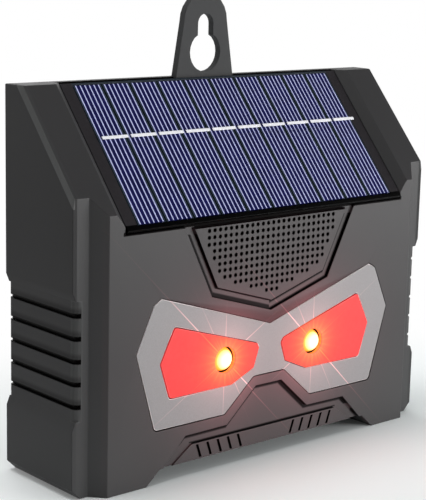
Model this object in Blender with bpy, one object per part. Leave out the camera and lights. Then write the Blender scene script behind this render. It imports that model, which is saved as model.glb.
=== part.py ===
# Solar ultrasonic animal repeller, drawn in metres at its real size.
#
# X runs to the right, Y runs to the back and Z runs up. The origin is the middle of the
# footprint, at the level that the feet stand on. A depth is measured forward from the flat
# back of the casing, so outlines seen from the side are pairs of depth and height, and
# outlines seen from the front are pairs of x and height.

import math

import bmesh
import bpy
from mathutils import Matrix, Vector

# Shared clearances
FIT_GAP = 0.0003
OVERRUN = 0.002
MERGE = 0.000001
ROUND_STEPS = 3
FINE_SIDES = 24
SMALL_SIDES = 12

# Casing
CASE_WIDTH = 0.150
CASE_HEIGHT = 0.1215
RIM_DEPTH = 0.035
RIM_WIDTH = 0.0058
FACE_RISE = 0.0045
BLOCK_CHAMFER = 0.004
TOP_FLAT = 0.0086
SLOPE_HEIGHT = 0.0355
SIDE_WALL = 0.0034
BACK_WALL = 0.0028
TOP_WALL = 0.0024
FLOOR_WALL = 0.0024
FRONT_WALL = 0.0028
RIM_WALL = 0.0024
CHEEK_BEVEL = 0.002
CHEEK_BEVEL_IN = 0.0006
FOOT_BEVEL = 0.003
FOOT_WIDTH = 0.0248
ARCH_LEAN = 0.0052
ARCH_HEIGHT = 0.0046
BLOCK_WALL = 0.0024

# Ribbed grip on each side
GRIP_LOW = 0.0215
GRIP_HIGH = 0.0635
GRIP_DEPTH = 0.0011
GRIP_RAMP = 0.0027
GRIP_FRONT_ROUND = 0.0023
GRIP_BACK_ROUND = 0.0012
GROOVE_COUNT = 5
GROOVE_PITCH = 0.00695
GROOVE_WIDTH = 0.001
GROOVE_DEPTH = 0.001
GROOVE_RUN_SHARE = 0.83

# Solar panel and the bed that it lies in
CHEEK_WIDTH = 0.016
PANEL_OVERHANG = 0.0043
PANEL_TOP_REACH = 0.001835
PANEL_SINK = 0.0026
PANEL_THICKNESS = 0.0012
BED_CHAMFER = 0.0031
BED_WALL = 0.0012
LEAD_HOLE_RADIUS = 0.0025
LEAD_HOLE_ALONG = 0.034
CELL_COUNT = 10
CELL_SIDE_MARGIN = 0.00425
CELL_GAP = 0.0006
CELL_THICKNESS = 0.00035
CELL_LOW_MARGIN = 0.0018
CELL_HIGH_MARGIN = 0.001

# Hanging tab
TAB_BACK = 0.0016
TAB_THICKNESS = 0.0026
TAB_BASE_HALF = 0.0123
TAB_SHOULDER_HALF = 0.0093
TAB_SHOULDER_RISE = 0.0178
TAB_FOOT_HALF = 0.020
TAB_FOOT_HEIGHT = 0.0105
KEYHOLE_RADIUS = 0.0064
KEYHOLE_RISE = 0.0077
KEYSLOT_HALF = 0.00315
KEYSLOT_RISE = 0.0201

# Eye mask and lenses
MASK_SIDE = 0.020
MASK_LOW_SHARE = 0.2
MASK_HEIGHT_SHARE = 0.4872
MASK_RECESS = 0.0015
MASK_ROUND = 0.0016
LENS_ROUND = 0.0012
LENS_PROUD = 0.0003
WINDOW_SHARE = 0.84
MASK_SHARES = [(0.0, 0.659), (0.824, 1.0), (0.880, 0.955), (1.0, 0.611),
               (0.864, 0.0), (0.342, 0.0), (0.122, 0.253)]
LENS_SHARES = [(0.104, 0.523), (0.729, 0.768), (0.831, 0.504), (0.760, 0.224),
               (0.298, 0.227), (0.125, 0.325), (0.085, 0.482)]
LED_SPOT_SHARES = (0.351, 0.437)

# Eye lamps and their board
LED_RADIUS = 0.004
LED_FLANGE_RADIUS = 0.0045
LED_FLANGE_THICKNESS = 0.001
LED_LENGTH = 0.0088
LED_SINK = 0.0047
COLLAR_WALL = 0.0012
COLLAR_LENGTH = 0.004
LED_BOARD_MARGIN = 0.0082
LED_BOARD_HEIGHT = 0.017
BOARD_THICKNESS = 0.0016
LED_POST_RADIUS = 0.0024
LED_POST_MARGIN = 0.003

# Cut-out at the foot of the front face, with its vent strip
CUTOUT_HEIGHT_SHARE = 0.286
CUTOUT_DEPTH = 0.0012
CUTOUT_SHARES = [(1.0, 0.0), (0.695, 0.549), (0.353, 0.557), (0.112, 1.0)]
VENT_LOW_SHARE = 0.787
VENT_HIGH_SHARE = 0.6335
VENT_HIGH = 0.010
VENT_RISE = 0.0006
SLOT_COUNT = 5
SLOT_FIRST_SHARE = 0.5896
SLOT_PITCH_SHARE = 0.0857
SLOT_WIDTH = 0.001
SLOT_LEAN = 0.0015
SLOT_MARGIN = 0.0005
SLOT_DEPTH = 0.001

# Sound outlet and speaker
GRILLE_HALF_SHARE = 0.4366
GRILLE_LOW_SHARE = 0.6081
GRILLE_HEIGHT_SHARE = 0.3093
GRILLE_SHARES = [(1.0, 1.0), (0.7025, 0.263), (0.0, 0.0), (-0.7025, 0.263), (-1.0, 1.0)]
GRILLE_PLATE = 0.0014
GRILLE_WALL = 0.0016
GRILLE_FLANGE = 0.0013
GRILLE_FLANGE_THICKNESS = 0.0014
CHANNEL_WIDTH = 0.0031
CHANNEL_DEPTH = 0.001
HOLE_RADIUS = 0.00065
HOLE_SIDES = 6
HOLE_PITCH_ACROSS = 0.002245
HOLE_PITCH_DOWN = 0.002185
HOLE_TOP_MARGIN = 0.0012
HOLE_EDGE_MARGIN = 0.0027
SPEAKER_FLANGE_SHARE = 0.586
SPEAKER_FLANGE_THICKNESS = 0.0012
SPEAKER_FLANGE = 0.0025
SPEAKER_DEPTH = 0.0095
SPEAKER_WALL = 0.0012
CONE_MARGIN = 0.0017
CONE_SINK = 0.0028
CONE_DISH = 0.0018
CONE_THICKNESS = 0.0005
CONE_SEAT = 0.001
BRACKET_RING_MARGIN = 0.0015
BRACKET_HALF = 0.0435
BRACKET_ARM_HALF = 0.004
BRACKET_THICKNESS = 0.0016
BRACKET_SCREW_X = 0.0395
BRACKET_POST_RADIUS = 0.0028

# Main board and what it carries
BOARD_HALF = 0.045
BOARD_LOW = 0.038
BOARD_HEIGHT = 0.048
BOARD_BACK = 0.009
BOARD_POST_RADIUS = 0.0026
BOARD_POST_INSET = 0.0045
SWITCH_SIZE = 0.006
SWITCH_STEM_RADIUS = 0.0016
SWITCH_STEM = 0.0005
SOCKET_HALF = 0.0045
SOCKET_HEIGHT = 0.0032
SOCKET_WALL = 0.0004
SOCKET_POCKET = 0.0045
CHIP_HALF = 0.005
CHIP_HEIGHT = 0.007
CHIP_THICKNESS = 0.0016
DRIVER_HALF = 0.003
DRIVER_HEIGHT = 0.005
COIL_RADIUS = 0.004
COIL_THICKNESS = 0.004
CAPACITOR_RADIUS = 0.0031
CAPACITOR_LENGTH = 0.0075
HEADER_HALF = 0.0037
HEADER_HEIGHT = 0.0045
HEADER_THICKNESS = 0.006
HEADER_WALL = 0.0007
HEADER_POCKET = 0.004
HEADER_PLACE_SHARES = [(-0.62, 0.10), (0.62, 0.10), (0.0, 0.90)]
CHIP_PLACE_SHARES = (-0.35, 0.58)
DRIVER_PLACE_SHARES = (0.30, 0.42)
COIL_PLACE_SHARES = (0.55, 0.66)
CAPACITOR_PLACE_SHARES = (0.60, 0.40)

# Controls on the back
BAY_HALF = 0.030
BAY_DROP = 0.0073
BAY_HEIGHT = 0.016
BAY_DEPTH = 0.0013
CAP_RADIUS = 0.004
CAP_SINK = 0.0003
CAP_FLANGE = 0.0012
CAP_FLANGE_THICKNESS = 0.001
CAP_TRAVEL = 0.0008
CAP_X = 0.018
CONTROL_HEIGHT = 0.0503
FLAP_HALF = 0.007
FLAP_RISE = 0.0047
FLAP_HEIGHT = 0.0092
FLAP_THICKNESS = 0.0007
FLAP_ROUND = 0.0012
FLAP_BARREL_RADIUS = 0.0006
FLAP_BARREL_HALF = 0.006
FLAP_PLUG = 0.0012
FLAP_PLUG_MARGIN = 0.0006

# Battery
CELL_RADIUS = 0.0092
CELL_LENGTH = 0.065
BATTERY_LIFT = 0.0042
CELL_END_STEP = 0.001
CELL_CAP_RADIUS = 0.0045
CONTACT_THICKNESS = 0.0005
CONTACT_HALF = 0.0045
CRADLE_WALL = 0.0018
CRADLE_END = 0.0024
EAR_REACH = 0.0095
EAR_HALF_HEIGHT = 0.004
EAR_THICKNESS = 0.002
EAR_LIFT = 0.009
EAR_BACK = 0.0053

# Screws and the posts that hold the back cover
POST_INSET = 0.010
POST_LOW = 0.015
POST_DROP = 0.002
POST_RADIUS = 0.0046
POST_END = 0.020
BORE_RADIUS = 0.0032
BORE_DEPTH = 0.0122
CASE_POST_RADIUS = 0.0034
CASE_SCREW_RADIUS = 0.0014
CASE_SCREW_HEAD_RADIUS = 0.0028
CASE_SCREW_HEAD = 0.0018
CASE_SCREW_MARGIN = 0.004
SMALL_SCREW_RADIUS = 0.0009
SMALL_SCREW_HEAD_RADIUS = 0.0019
SMALL_SCREW_HEAD = 0.0013
SMALL_SCREW_GRIP = 0.0045

# Seal on the back cover's border, and the ledge that presses on it
SEAL_WIDTH = 0.0012
SEAL_THICKNESS = 0.0012
LEDGE_WIDTH = 0.0016
LEDGE_THICKNESS = 0.0016

# Values that follow from the sizes above
CASE_HALF = CASE_WIDTH / 2
FACE_DEPTH = RIM_DEPTH + FACE_RISE
BLOCK_FOOT_HALF = CASE_HALF - RIM_WIDTH
FACE_HALF = BLOCK_FOOT_HALF - BLOCK_CHAMFER
ARCH_HALF = CASE_HALF - FOOT_WIDTH
ARCH_TOP_HALF = ARCH_HALF - ARCH_LEAN
SLOPE_START = CASE_HEIGHT - SLOPE_HEIGHT
SLOPE_REACH = FACE_DEPTH - TOP_FLAT
SLOPE = math.atan2(SLOPE_HEIGHT, SLOPE_REACH)
RISE = math.sin(SLOPE)
RUN = math.cos(SLOPE)
PANEL_HALF = CASE_HALF - CHEEK_WIDTH
PANEL_HIGH = math.hypot(SLOPE_HEIGHT, SLOPE_REACH) + PANEL_TOP_REACH
CELL_PITCH = (PANEL_HALF - CELL_SIDE_MARGIN) * 2 / CELL_COUNT
BED_DEPTH = PANEL_SINK + PANEL_THICKNESS + FIT_GAP
BED_FLOOR_HALF = PANEL_HALF + FIT_GAP
BED_HALF = BED_FLOOR_HALF + BED_CHAMFER
SLAB_HALF = BED_HALF + RIM_WALL
SLAB_DEPTH = BED_DEPTH + BED_WALL
FACE_INSIDE = FACE_DEPTH - FRONT_WALL
SEAL_BACK = BACK_WALL + FIT_GAP
SEAT_DEPTH = SEAL_BACK + SEAL_THICKNESS + FIT_GAP
FLOOR_HEIGHT = ARCH_HEIGHT + FLOOR_WALL
TAB_SHOULDER_HEIGHT = CASE_HEIGHT + TAB_SHOULDER_RISE
KEYHOLE_HEIGHT = CASE_HEIGHT + KEYHOLE_RISE
KEYSLOT_TOP = CASE_HEIGHT + KEYSLOT_RISE
MASK_HALF = CASE_HALF - MASK_SIDE
MASK_LOW = SLOPE_START * MASK_LOW_SHARE
MASK_HEIGHT = SLOPE_START * MASK_HEIGHT_SHARE
CUTOUT_HEIGHT = SLOPE_START * CUTOUT_HEIGHT_SHARE
GRILLE_HALF = CASE_HALF * GRILLE_HALF_SHARE
GRILLE_LOW = SLOPE_START * GRILLE_LOW_SHARE
GRILLE_HEIGHT = SLOPE_START * GRILLE_HEIGHT_SHARE
SPEAKER_HEIGHT = GRILLE_LOW + GRILLE_HEIGHT / 2
SPEAKER_FLANGE_RADIUS = GRILLE_HEIGHT * SPEAKER_FLANGE_SHARE
SPEAKER_RADIUS = SPEAKER_FLANGE_RADIUS - SPEAKER_FLANGE
CONE_RADIUS = SPEAKER_RADIUS - CONE_MARGIN
BRACKET_RING = SPEAKER_FLANGE_RADIUS + BRACKET_RING_MARGIN
POST_X = CASE_HALF - POST_INSET
POST_HIGH = SLOPE_START - POST_DROP
CASE_SCREW_END = RIM_DEPTH - CASE_SCREW_MARGIN
LED_X = MASK_HALF * LED_SPOT_SHARES[0]
LED_HEIGHT = MASK_LOW + MASK_HEIGHT * LED_SPOT_SHARES[1]
LED_BOARD_HALF = LED_X + LED_BOARD_MARGIN
LED_BOARD_LOW = LED_HEIGHT - LED_BOARD_HEIGHT / 2
LED_BOARD_FRONT = FACE_INSIDE - LED_SINK - FIT_GAP
LED_BASE = LED_BOARD_FRONT + FIT_GAP
PANEL_FRONT = FACE_DEPTH - PANEL_SINK * RISE + PANEL_OVERHANG * RUN
BACK_Y = max(PANEL_FRONT, LED_BASE + LED_LENGTH) / 2
GRILLE_FLANGE_BACK = FACE_INSIDE - FIT_GAP - GRILLE_FLANGE_THICKNESS
SPEAKER_FRONT = GRILLE_FLANGE_BACK - FIT_GAP
SPEAKER_SEAT = SPEAKER_FRONT - SPEAKER_FLANGE_THICKNESS
BRACKET_FRONT = SPEAKER_SEAT - FIT_GAP
BRACKET_BACK = BRACKET_FRONT - BRACKET_THICKNESS
BOARD_FRONT = BOARD_BACK + BOARD_THICKNESS
CAP_FLANGE_BACK = BACK_WALL + FIT_GAP
CAP_FLANGE_FRONT = CAP_FLANGE_BACK + CAP_FLANGE_THICKNESS
SWITCH_TIP = CAP_FLANGE_FRONT + CAP_TRAVEL + FIT_GAP
BAY_LOW = CONTROL_HEIGHT - BAY_DROP
FLAP_TOP = CONTROL_HEIGHT + FLAP_RISE
FLAP_BACK = CAP_SINK
FLAP_AXIS_DEPTH = FLAP_BACK + FLAP_BARREL_RADIUS
CRADLE_BORE = CELL_RADIUS + FIT_GAP
BATTERY_DEPTH = BACK_WALL + FIT_GAP + CRADLE_WALL + CRADLE_BORE
BATTERY_HEIGHT = FLOOR_HEIGHT + BATTERY_LIFT + CELL_RADIUS
CONTACT_INNER = CELL_LENGTH / 2 + CELL_END_STEP + FIT_GAP
CRADLE_INNER = CONTACT_INNER + CONTACT_THICKNESS + FIT_GAP
CRADLE_OUTER = CRADLE_INNER + CRADLE_END
EAR_X = CRADLE_OUTER + EAR_REACH / 2
EAR_HEIGHT = FLOOR_HEIGHT + EAR_LIFT


# Places and outlines

def place(x, depth, height):
    """The point at x, a depth in front of the casing's back, and a height."""
    return Vector((x, BACK_Y - depth, height))


def slope_point(along, inward):
    """Depth and height of a point up the slope, and inward from it."""
    return (FACE_DEPTH - along * RUN - inward * RISE,
            SLOPE_START + along * RISE - inward * RUN)


def slope_at_depth(depth, inward):
    """Where the plane that lies inward from the slope meets a depth."""
    return slope_point((FACE_DEPTH - inward * RISE - depth) / RUN, inward)


def slope_at_height(height, inward):
    """Where the plane that lies inward from the slope meets a height."""
    return slope_point((height - SLOPE_START + inward * RUN) / RISE, inward)


def circle(across, up, radius, sides=FINE_SIDES):
    """A round outline, its first point straight up."""
    turns = [2 * math.pi * step / sides for step in range(sides)]
    return [(across + radius * math.sin(turn), up + radius * math.cos(turn)) for turn in turns]


def rectangle(left, right, low, high):
    return [(left, low), (right, low), (right, high), (left, high)]


def mirrored(half):
    """A whole outline from its right half, listed from the top centre down."""
    left = [(-across, up) for across, up in reversed(half) if across != 0]
    return list(half) + left


def signed_area(outline):
    pairs = zip(outline, outline[1:] + outline[:1])
    return sum(a[0] * b[1] - b[0] * a[1] for a, b in pairs) / 2


def offset(outline, distance):
    """The outline moved outward by a distance, with its corners kept sharp."""
    turn = 1 if signed_area(outline) > 0 else -1
    moved = []
    for index, here in enumerate(outline):
        before = Vector(here) - Vector(outline[index - 1])
        after = Vector(outline[(index + 1) % len(outline)]) - Vector(here)
        before.normalize()
        after.normalize()
        side_before = Vector((before.y, -before.x)) * turn
        side_after = Vector((after.y, -after.x)) * turn
        middle = side_before + side_after
        reach = 2 * distance / middle.length_squared
        moved.append((here[0] + middle.x * reach, here[1] + middle.y * reach))
    return moved


def rounded(outline, radius, steps=ROUND_STEPS):
    """The outline with an arc of one radius at every corner."""
    points = []
    for index, here in enumerate(outline):
        corner = Vector(here)
        to_before = Vector(outline[index - 1]) - corner
        to_after = Vector(outline[(index + 1) % len(outline)]) - corner
        angle = to_before.angle(to_after)
        room = min(to_before.length, to_after.length) / 2
        cut = min(radius / math.tan(angle / 2), room)
        start = corner + to_before.normalized() * cut
        end = corner + to_after.normalized() * cut
        for step in range(steps + 1):
            share = step / steps
            bow = start.lerp(corner, share).lerp(corner.lerp(end, share), share)
            points.append((bow.x, bow.y))
    return points


def drawn_in(outline, share):
    """The outline made smaller about its middle."""
    middle = sum((Vector(point) for point in outline), Vector((0, 0))) / len(outline)
    return [tuple(middle.lerp(Vector(point), share)) for point in outline]


def shared_outline(shares, half, low, height):
    """Points given as shares of a half width and of a height."""
    return [(across * half, low + up * height) for across, up in shares]


# Solids

def finish(name, shape):
    """A new object from a bmesh, which is closed and faces outward."""
    bmesh.ops.recalc_face_normals(shape, faces=shape.faces[:])
    mesh = bpy.data.meshes.new(name)
    shape.to_mesh(mesh)
    shape.free()
    solid = bpy.data.objects.new(name, mesh)
    bpy.context.collection.objects.link(solid)
    return solid


def extruded(outline, low, high, spot):
    """A solid between two copies of an outline; spot places a point of it."""
    shape = bmesh.new()
    corners = [shape.verts.new(spot(first, second, low)) for first, second in outline]
    face = shape.faces.new(corners)
    grown = bmesh.ops.extrude_face_region(shape, geom=[face])
    moved = [part for part in grown["geom"] if isinstance(part, bmesh.types.BMVert)]
    way = spot(0, 0, high) - spot(0, 0, low)
    bmesh.ops.translate(shape, verts=moved, vec=way)
    return finish("solid", shape)


def from_side(outline, left, right):
    """A solid across the casing from an outline of depths and heights."""
    return extruded(outline, left, right, lambda depth, height, x: place(x, depth, height))


def from_front(outline, near, far):
    """A solid through the casing from an outline of x and heights."""
    return extruded(outline, near, far, lambda x, height, depth: place(x, depth, height))


def from_above(outline, low, high):
    """An upright solid from an outline of x and depths."""
    return extruded(outline, low, high, lambda x, depth, height: place(x, depth, height))


def on_slope(outline, outer, inner):
    """A solid on the slope from an outline of x and places along it."""
    def spot(x, along, inward):
        depth, height = slope_point(along, inward)
        return place(x, depth, height)
    return extruded(outline, outer, inner, spot)


def block(left, right, near, far, low, high):
    return from_front(rectangle(left, right, low, high), near, far)


def turned(profile, x, height, sides=FINE_SIDES):
    """A solid of revolution about a line through the casing, from radii and depths."""
    shape = bmesh.new()
    points = [shape.verts.new(place(x + radius, depth, height)) for radius, depth in profile]
    edges = [shape.edges.new(pair) for pair in zip(points, points[1:])]
    bmesh.ops.spin(shape, geom=points + edges, cent=place(x, 0, height), axis=(0, 1, 0),
                   angle=2 * math.pi, steps=sides, use_merge=True)
    bmesh.ops.remove_doubles(shape, verts=shape.verts[:], dist=MERGE)
    return finish("solid", shape)


def screw(x, height, head_back, head, head_radius, radius, end):
    """A screw driven forward: head first, then its shank."""
    neck = head_back + head
    profile = [(0, head_back), (head_radius, head_back), (head_radius, neck),
               (radius, neck), (radius, end), (0, end)]
    return turned(profile, x, height, SMALL_SIDES)


def drop(solid):
    mesh = solid.data
    bpy.data.objects.remove(solid)
    bpy.data.meshes.remove(mesh)


def settle(solid):
    """Turns an object's modifiers into its mesh."""
    graph = bpy.context.evaluated_depsgraph_get()
    mesh = bpy.data.meshes.new_from_object(solid.evaluated_get(graph))
    before = solid.data
    solid.modifiers.clear()
    solid.data = mesh
    bpy.data.meshes.remove(before)


def combine(solid, tools, operation):
    for tool in tools:
        step = solid.modifiers.new("step", "BOOLEAN")
        step.operation = operation
        step.object = tool
    settle(solid)
    for tool in tools:
        drop(tool)
    return solid


def cut(solid, *tools):
    return combine(solid, tools, "DIFFERENCE")


def fuse(solid, *tools):
    return combine(solid, tools, "UNION")


def keep_within(solid, tool):
    return combine(solid, [tool], "INTERSECT")


def gather(solids):
    """Several separate solids in one object."""
    shape = bmesh.new()
    for solid in solids:
        shape.from_mesh(solid.data)
        drop(solid)
    return finish("solid", shape)


def plastic(name, colour, roughness, metallic=0.0):
    material = bpy.data.materials.new(name)
    material.use_nodes = True
    shader = material.node_tree.nodes["Principled BSDF"]
    shader.inputs["Base Color"].default_value = (*colour, 1.0)
    shader.inputs["Roughness"].default_value = roughness
    shader.inputs["Metallic"].default_value = metallic
    return material


def node(name, solid, material, smooth=False):
    """Gives a solid its name and material."""
    solid.name = name
    solid.data.name = name
    solid.data.materials.clear()
    solid.data.materials.append(material)
    if smooth:
        solid.data.shade_smooth()
        solid.data.set_sharp_from_angle(angle=math.radians(35))
    return solid


def nodes(name, solids, material, smooth=False):
    """Numbers a set of like pieces from one."""
    return [node(f"{name}_{index + 1}", solid, material, smooth) for index, solid in enumerate(solids)]


def set_origin(solid, spot):
    """Moves an object's origin, and leaves its shape where it is."""
    solid.data.transform(Matrix.Translation(-spot))
    solid.location = spot


# Outlines that more than one piece follows

def hollow_profile():
    """How deep the hollow runs under the rim and the cheeks, seen from the side."""
    front = RIM_DEPTH - RIM_WALL
    return [(-OVERRUN, -OVERRUN), (front, -OVERRUN), slope_at_depth(front, RIM_WALL),
            slope_at_height(CASE_HEIGHT + OVERRUN, RIM_WALL), (-OVERRUN, CASE_HEIGHT + OVERRUN)]


def cavity(half, top):
    """The hollow seen from the front, with its floor raised over the arch."""
    return mirrored([(half, top), (half, FLOOR_WALL), (ARCH_HALF + FLOOR_WALL, FLOOR_WALL),
                     (ARCH_TOP_HALF + FLOOR_WALL, FLOOR_HEIGHT)])


def case_outline():
    """The inside of the casing's walls seen from the front."""
    return cavity(CASE_HALF - SIDE_WALL, CASE_HEIGHT - TOP_WALL)


def mask_outline():
    return mirrored(shared_outline(MASK_SHARES, MASK_HALF, MASK_LOW, MASK_HEIGHT))


def lens_outline(side):
    right = shared_outline(LENS_SHARES, MASK_HALF, MASK_LOW, MASK_HEIGHT)
    return [(side * across, up) for across, up in right]


def led_spot(side):
    return side * LED_X, LED_HEIGHT


def grille_outline():
    return shared_outline(GRILLE_SHARES, GRILLE_HALF, GRILLE_LOW, GRILLE_HEIGHT)


def led_board_posts():
    middle = LED_BOARD_LOW + LED_BOARD_HEIGHT / 2
    spread = LED_BOARD_HEIGHT / 2 - LED_POST_MARGIN
    return [(0, middle - spread), (0, middle + spread)]


def board_posts():
    across = BOARD_HALF - BOARD_POST_INSET
    heights = (BOARD_LOW + BOARD_POST_INSET, BOARD_LOW + BOARD_HEIGHT - BOARD_POST_INSET)
    return [(side * across, height) for side in (-1, 1) for height in heights]


def case_posts():
    return [(side * POST_X, height) for side in (-1, 1) for height in (POST_LOW, POST_HIGH)]


def on_board(shares):
    across, up = shares
    return across * BOARD_HALF, BOARD_LOW + up * BOARD_HEIGHT


# Casing

def slice_off(solid, spot, normal):
    """Cuts off what lies beyond a plane, and closes the cut."""
    shape = bmesh.new()
    shape.from_mesh(solid.data)
    whole = shape.verts[:] + shape.edges[:] + shape.faces[:]
    bmesh.ops.bisect_plane(shape, geom=whole, dist=MERGE, plane_co=spot, plane_no=normal,
                           clear_outer=True)
    open_edges = [edge for edge in shape.edges if edge.is_boundary]
    bmesh.ops.holes_fill(shape, edges=open_edges)
    bmesh.ops.recalc_face_normals(shape, faces=shape.faces[:])
    shape.to_mesh(solid.data)
    shape.free()


def corner_arc(edge, inward, radius, reach, turns):
    """Points round the grip's corner at a depth, from its flat to the casing's edge."""
    centre = CASE_HALF - GRIP_DEPTH - radius
    return [(centre + (radius - reach) * math.cos(turn), edge + inward * radius * (1 - math.sin(turn)))
            for turn in turns]


def grip_cutters(side):
    """Cutters for the ribbed grip: the shallow flat, its round corners and its grooves."""
    floor = CASE_HALF - GRIP_DEPTH
    out = CASE_HALF + OVERRUN
    spread = GRIP_RAMP * OVERRUN / GRIP_DEPTH
    flat = [(side * out, GRIP_LOW - spread), (side * floor, GRIP_LOW + GRIP_RAMP),
            (side * floor, GRIP_HIGH - GRIP_RAMP), (side * out, GRIP_HIGH + spread)]
    cutters = [from_front(flat, -OVERRUN, RIM_DEPTH + OVERRUN)]
    turns = [math.pi / 2 * step / ROUND_STEPS for step in range(ROUND_STEPS + 1)]
    groove_turns = [turn * GROOVE_RUN_SHARE for turn in turns]
    groove = []
    for edge, inward, radius in ((0, 1, GRIP_BACK_ROUND), (RIM_DEPTH, -1, GRIP_FRONT_ROUND)):
        outer = edge - inward * OVERRUN
        arc = corner_arc(edge, inward, radius, 0, turns)
        corner = [(floor + OVERRUN, arc[0][1]), *arc, (arc[-1][0], outer), (floor + OVERRUN, outer)]
        mirror = [(side * across, depth) for across, depth in corner]
        cutters.append(from_above(mirror, GRIP_LOW + GRIP_RAMP, GRIP_HIGH - GRIP_RAMP))
        arc = corner_arc(edge, inward, radius, GROOVE_DEPTH, groove_turns)
        end = [*arc, (arc[-1][0], outer), (out, outer)]
        groove += end if inward < 0 else reversed(end)
    plan = [(side * across, depth) for across, depth in groove]
    middle = (GRIP_LOW + GRIP_HIGH) / 2
    for index in range(GROOVE_COUNT):
        height = middle + (index - (GROOVE_COUNT - 1) / 2) * GROOVE_PITCH
        cutters.append(from_above(plan, height - GROOVE_WIDTH / 2, height + GROOVE_WIDTH / 2))
    return cutters


def outer_body():
    """The casing's outside as one full solid."""
    plan = [(-CASE_HALF, 0), (CASE_HALF, 0), (CASE_HALF, RIM_DEPTH), (BLOCK_FOOT_HALF, RIM_DEPTH),
            (FACE_HALF, FACE_DEPTH), (-FACE_HALF, FACE_DEPTH), (-BLOCK_FOOT_HALF, RIM_DEPTH),
            (-CASE_HALF, RIM_DEPTH)]
    body = from_above(plan, 0, CASE_HEIGHT)
    slope_normal = Vector((0, -RISE, RUN))
    slice_off(body, place(0, FACE_DEPTH, SLOPE_START), slope_normal)
    bevel_depth, bevel_height = slope_point(0, CHEEK_BEVEL)
    for side in (-1, 1):
        slice_off(body, place(side * CASE_HALF, bevel_depth, bevel_height),
                  slope_normal * CHEEK_BEVEL_IN / CHEEK_BEVEL + Vector((side, 0, 0)))
        slice_off(body, place(side * CASE_HALF, 0, FOOT_BEVEL), Vector((side, 0, -1)))
    for side in (-1, 1):
        for cutter in grip_cutters(side):
            cut(body, cutter)
    return body


def foot_arch():
    """A cutter for the low arch between the two feet."""
    arch = [(-ARCH_HALF, -OVERRUN), (ARCH_HALF, -OVERRUN), (ARCH_HALF, 0),
            (ARCH_TOP_HALF, ARCH_HEIGHT), (-ARCH_TOP_HALF, ARCH_HEIGHT), (-ARCH_HALF, 0)]
    return from_front(arch, -OVERRUN, FACE_DEPTH + OVERRUN)


def bed_cutter():
    """The bed in the slope that takes the solar panel, with a chamfer along each side."""
    spread = BED_CHAMFER * OVERRUN / PANEL_SINK
    section = [(-BED_HALF - spread, -OVERRUN), (BED_HALF + spread, -OVERRUN),
               (BED_FLOOR_HALF, PANEL_SINK), (BED_FLOOR_HALF, BED_DEPTH),
               (-BED_FLOOR_HALF, BED_DEPTH), (-BED_FLOOR_HALF, PANEL_SINK)]
    reach = CASE_HEIGHT

    def spot(x, inward, along):
        depth, height = slope_point(along, inward)
        return place(x, depth, height)
    return extruded(section, -reach / 2, reach, spot)


def front_casing(material):
    """The deep shell: face, rim, sides, top and floor, with the bed for the panel in its slope."""
    body = outer_body()
    hollow = from_front(case_outline(), -OVERRUN, FACE_DEPTH)
    cut(body, keep_within(hollow, from_side(hollow_profile(), -CASE_WIDTH, CASE_WIDTH)))
    middle = FACE_DEPTH - FRONT_WALL / 2
    slab = [slope_at_depth(middle, RIM_WALL / 2), slope_at_height(CASE_HEIGHT, RIM_WALL / 2),
            slope_at_height(CASE_HEIGHT, SLAB_DEPTH), slope_at_depth(middle, SLAB_DEPTH)]
    fuse(body, from_side(slab, -SLAB_HALF, SLAB_HALF))
    cut(body, from_front(case_outline(), -OVERRUN, SEAT_DEPTH))
    ledge = from_front(offset(case_outline(), FLOOR_WALL / 2), SEAT_DEPTH,
                       SEAT_DEPTH + LEDGE_THICKNESS)
    cut(ledge, from_front(offset(case_outline(), -LEDGE_WIDTH), 0, FACE_DEPTH))
    fuse(body, ledge)
    back = RIM_DEPTH - RIM_WALL - OVERRUN
    under_slab = SLAB_DEPTH + FIT_GAP
    side_view = [(back, 0), (FACE_INSIDE, 0), slope_at_depth(FACE_INSIDE, under_slab),
                 slope_at_depth(back, under_slab)]
    block_hollow = from_side(side_view, -CASE_HALF, CASE_HALF)
    keep_within(block_hollow, from_front(cavity(FACE_HALF - BLOCK_WALL, CASE_HEIGHT), 0, FACE_DEPTH))
    cut(body, block_hollow)
    cut(body, bed_cutter())
    notch = TAB_BASE_HALF + FIT_GAP
    cut(body, block(-notch, notch, TAB_BACK - FIT_GAP, TAB_BACK + TAB_THICKNESS + FIT_GAP,
                    CASE_HEIGHT - TOP_WALL - OVERRUN, CASE_HEIGHT + OVERRUN))
    rim_inside = RIM_DEPTH - RIM_WALL / 2
    hole = CASE_SCREW_RADIUS + FIT_GAP
    start = POST_END + FIT_GAP
    end = CASE_SCREW_END + FIT_GAP
    for x, height in case_posts():
        fuse(body, bored_post(x, height, CASE_POST_RADIUS, hole, start, end, rim_inside))
    pilot = SMALL_SCREW_RADIUS + FIT_GAP
    end = FACE_INSIDE - FIT_GAP
    face_inside = FACE_INSIDE + FRONT_WALL / 4
    posts = [(x, height, LED_POST_RADIUS, LED_BOARD_FRONT + FIT_GAP)
             for x, height in led_board_posts()]
    posts += [(side * BRACKET_SCREW_X, SPEAKER_HEIGHT, BRACKET_POST_RADIUS, BRACKET_FRONT + FIT_GAP)
              for side in (-1, 1)]
    for x, height, radius, start in posts:
        fuse(body, bored_post(x, height, radius, pilot, start, end, face_inside))
    cut(body, *face_cutters())
    strip = mirrored([(ARCH_HALF * VENT_HIGH_SHARE, VENT_HIGH),
                      (ARCH_HALF * VENT_LOW_SHARE, ARCH_HEIGHT), (ARCH_HALF / 2, 0)])
    recess = FACE_DEPTH - CUTOUT_DEPTH
    fuse(body, from_front(strip, recess - VENT_RISE, recess + VENT_RISE))
    cut(body, vent_slots(recess + VENT_RISE))
    cut(body, foot_arch())
    return node("front_casing", body, material)


def bored_post(x, height, radius, bore, start, bore_end, end):
    """A post that points backward, with a blind hole for its screw."""
    post = from_front(circle(x, height, radius), start, end)
    return cut(post, from_front(circle(x, height, bore, SMALL_SIDES), start - OVERRUN, bore_end))


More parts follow.
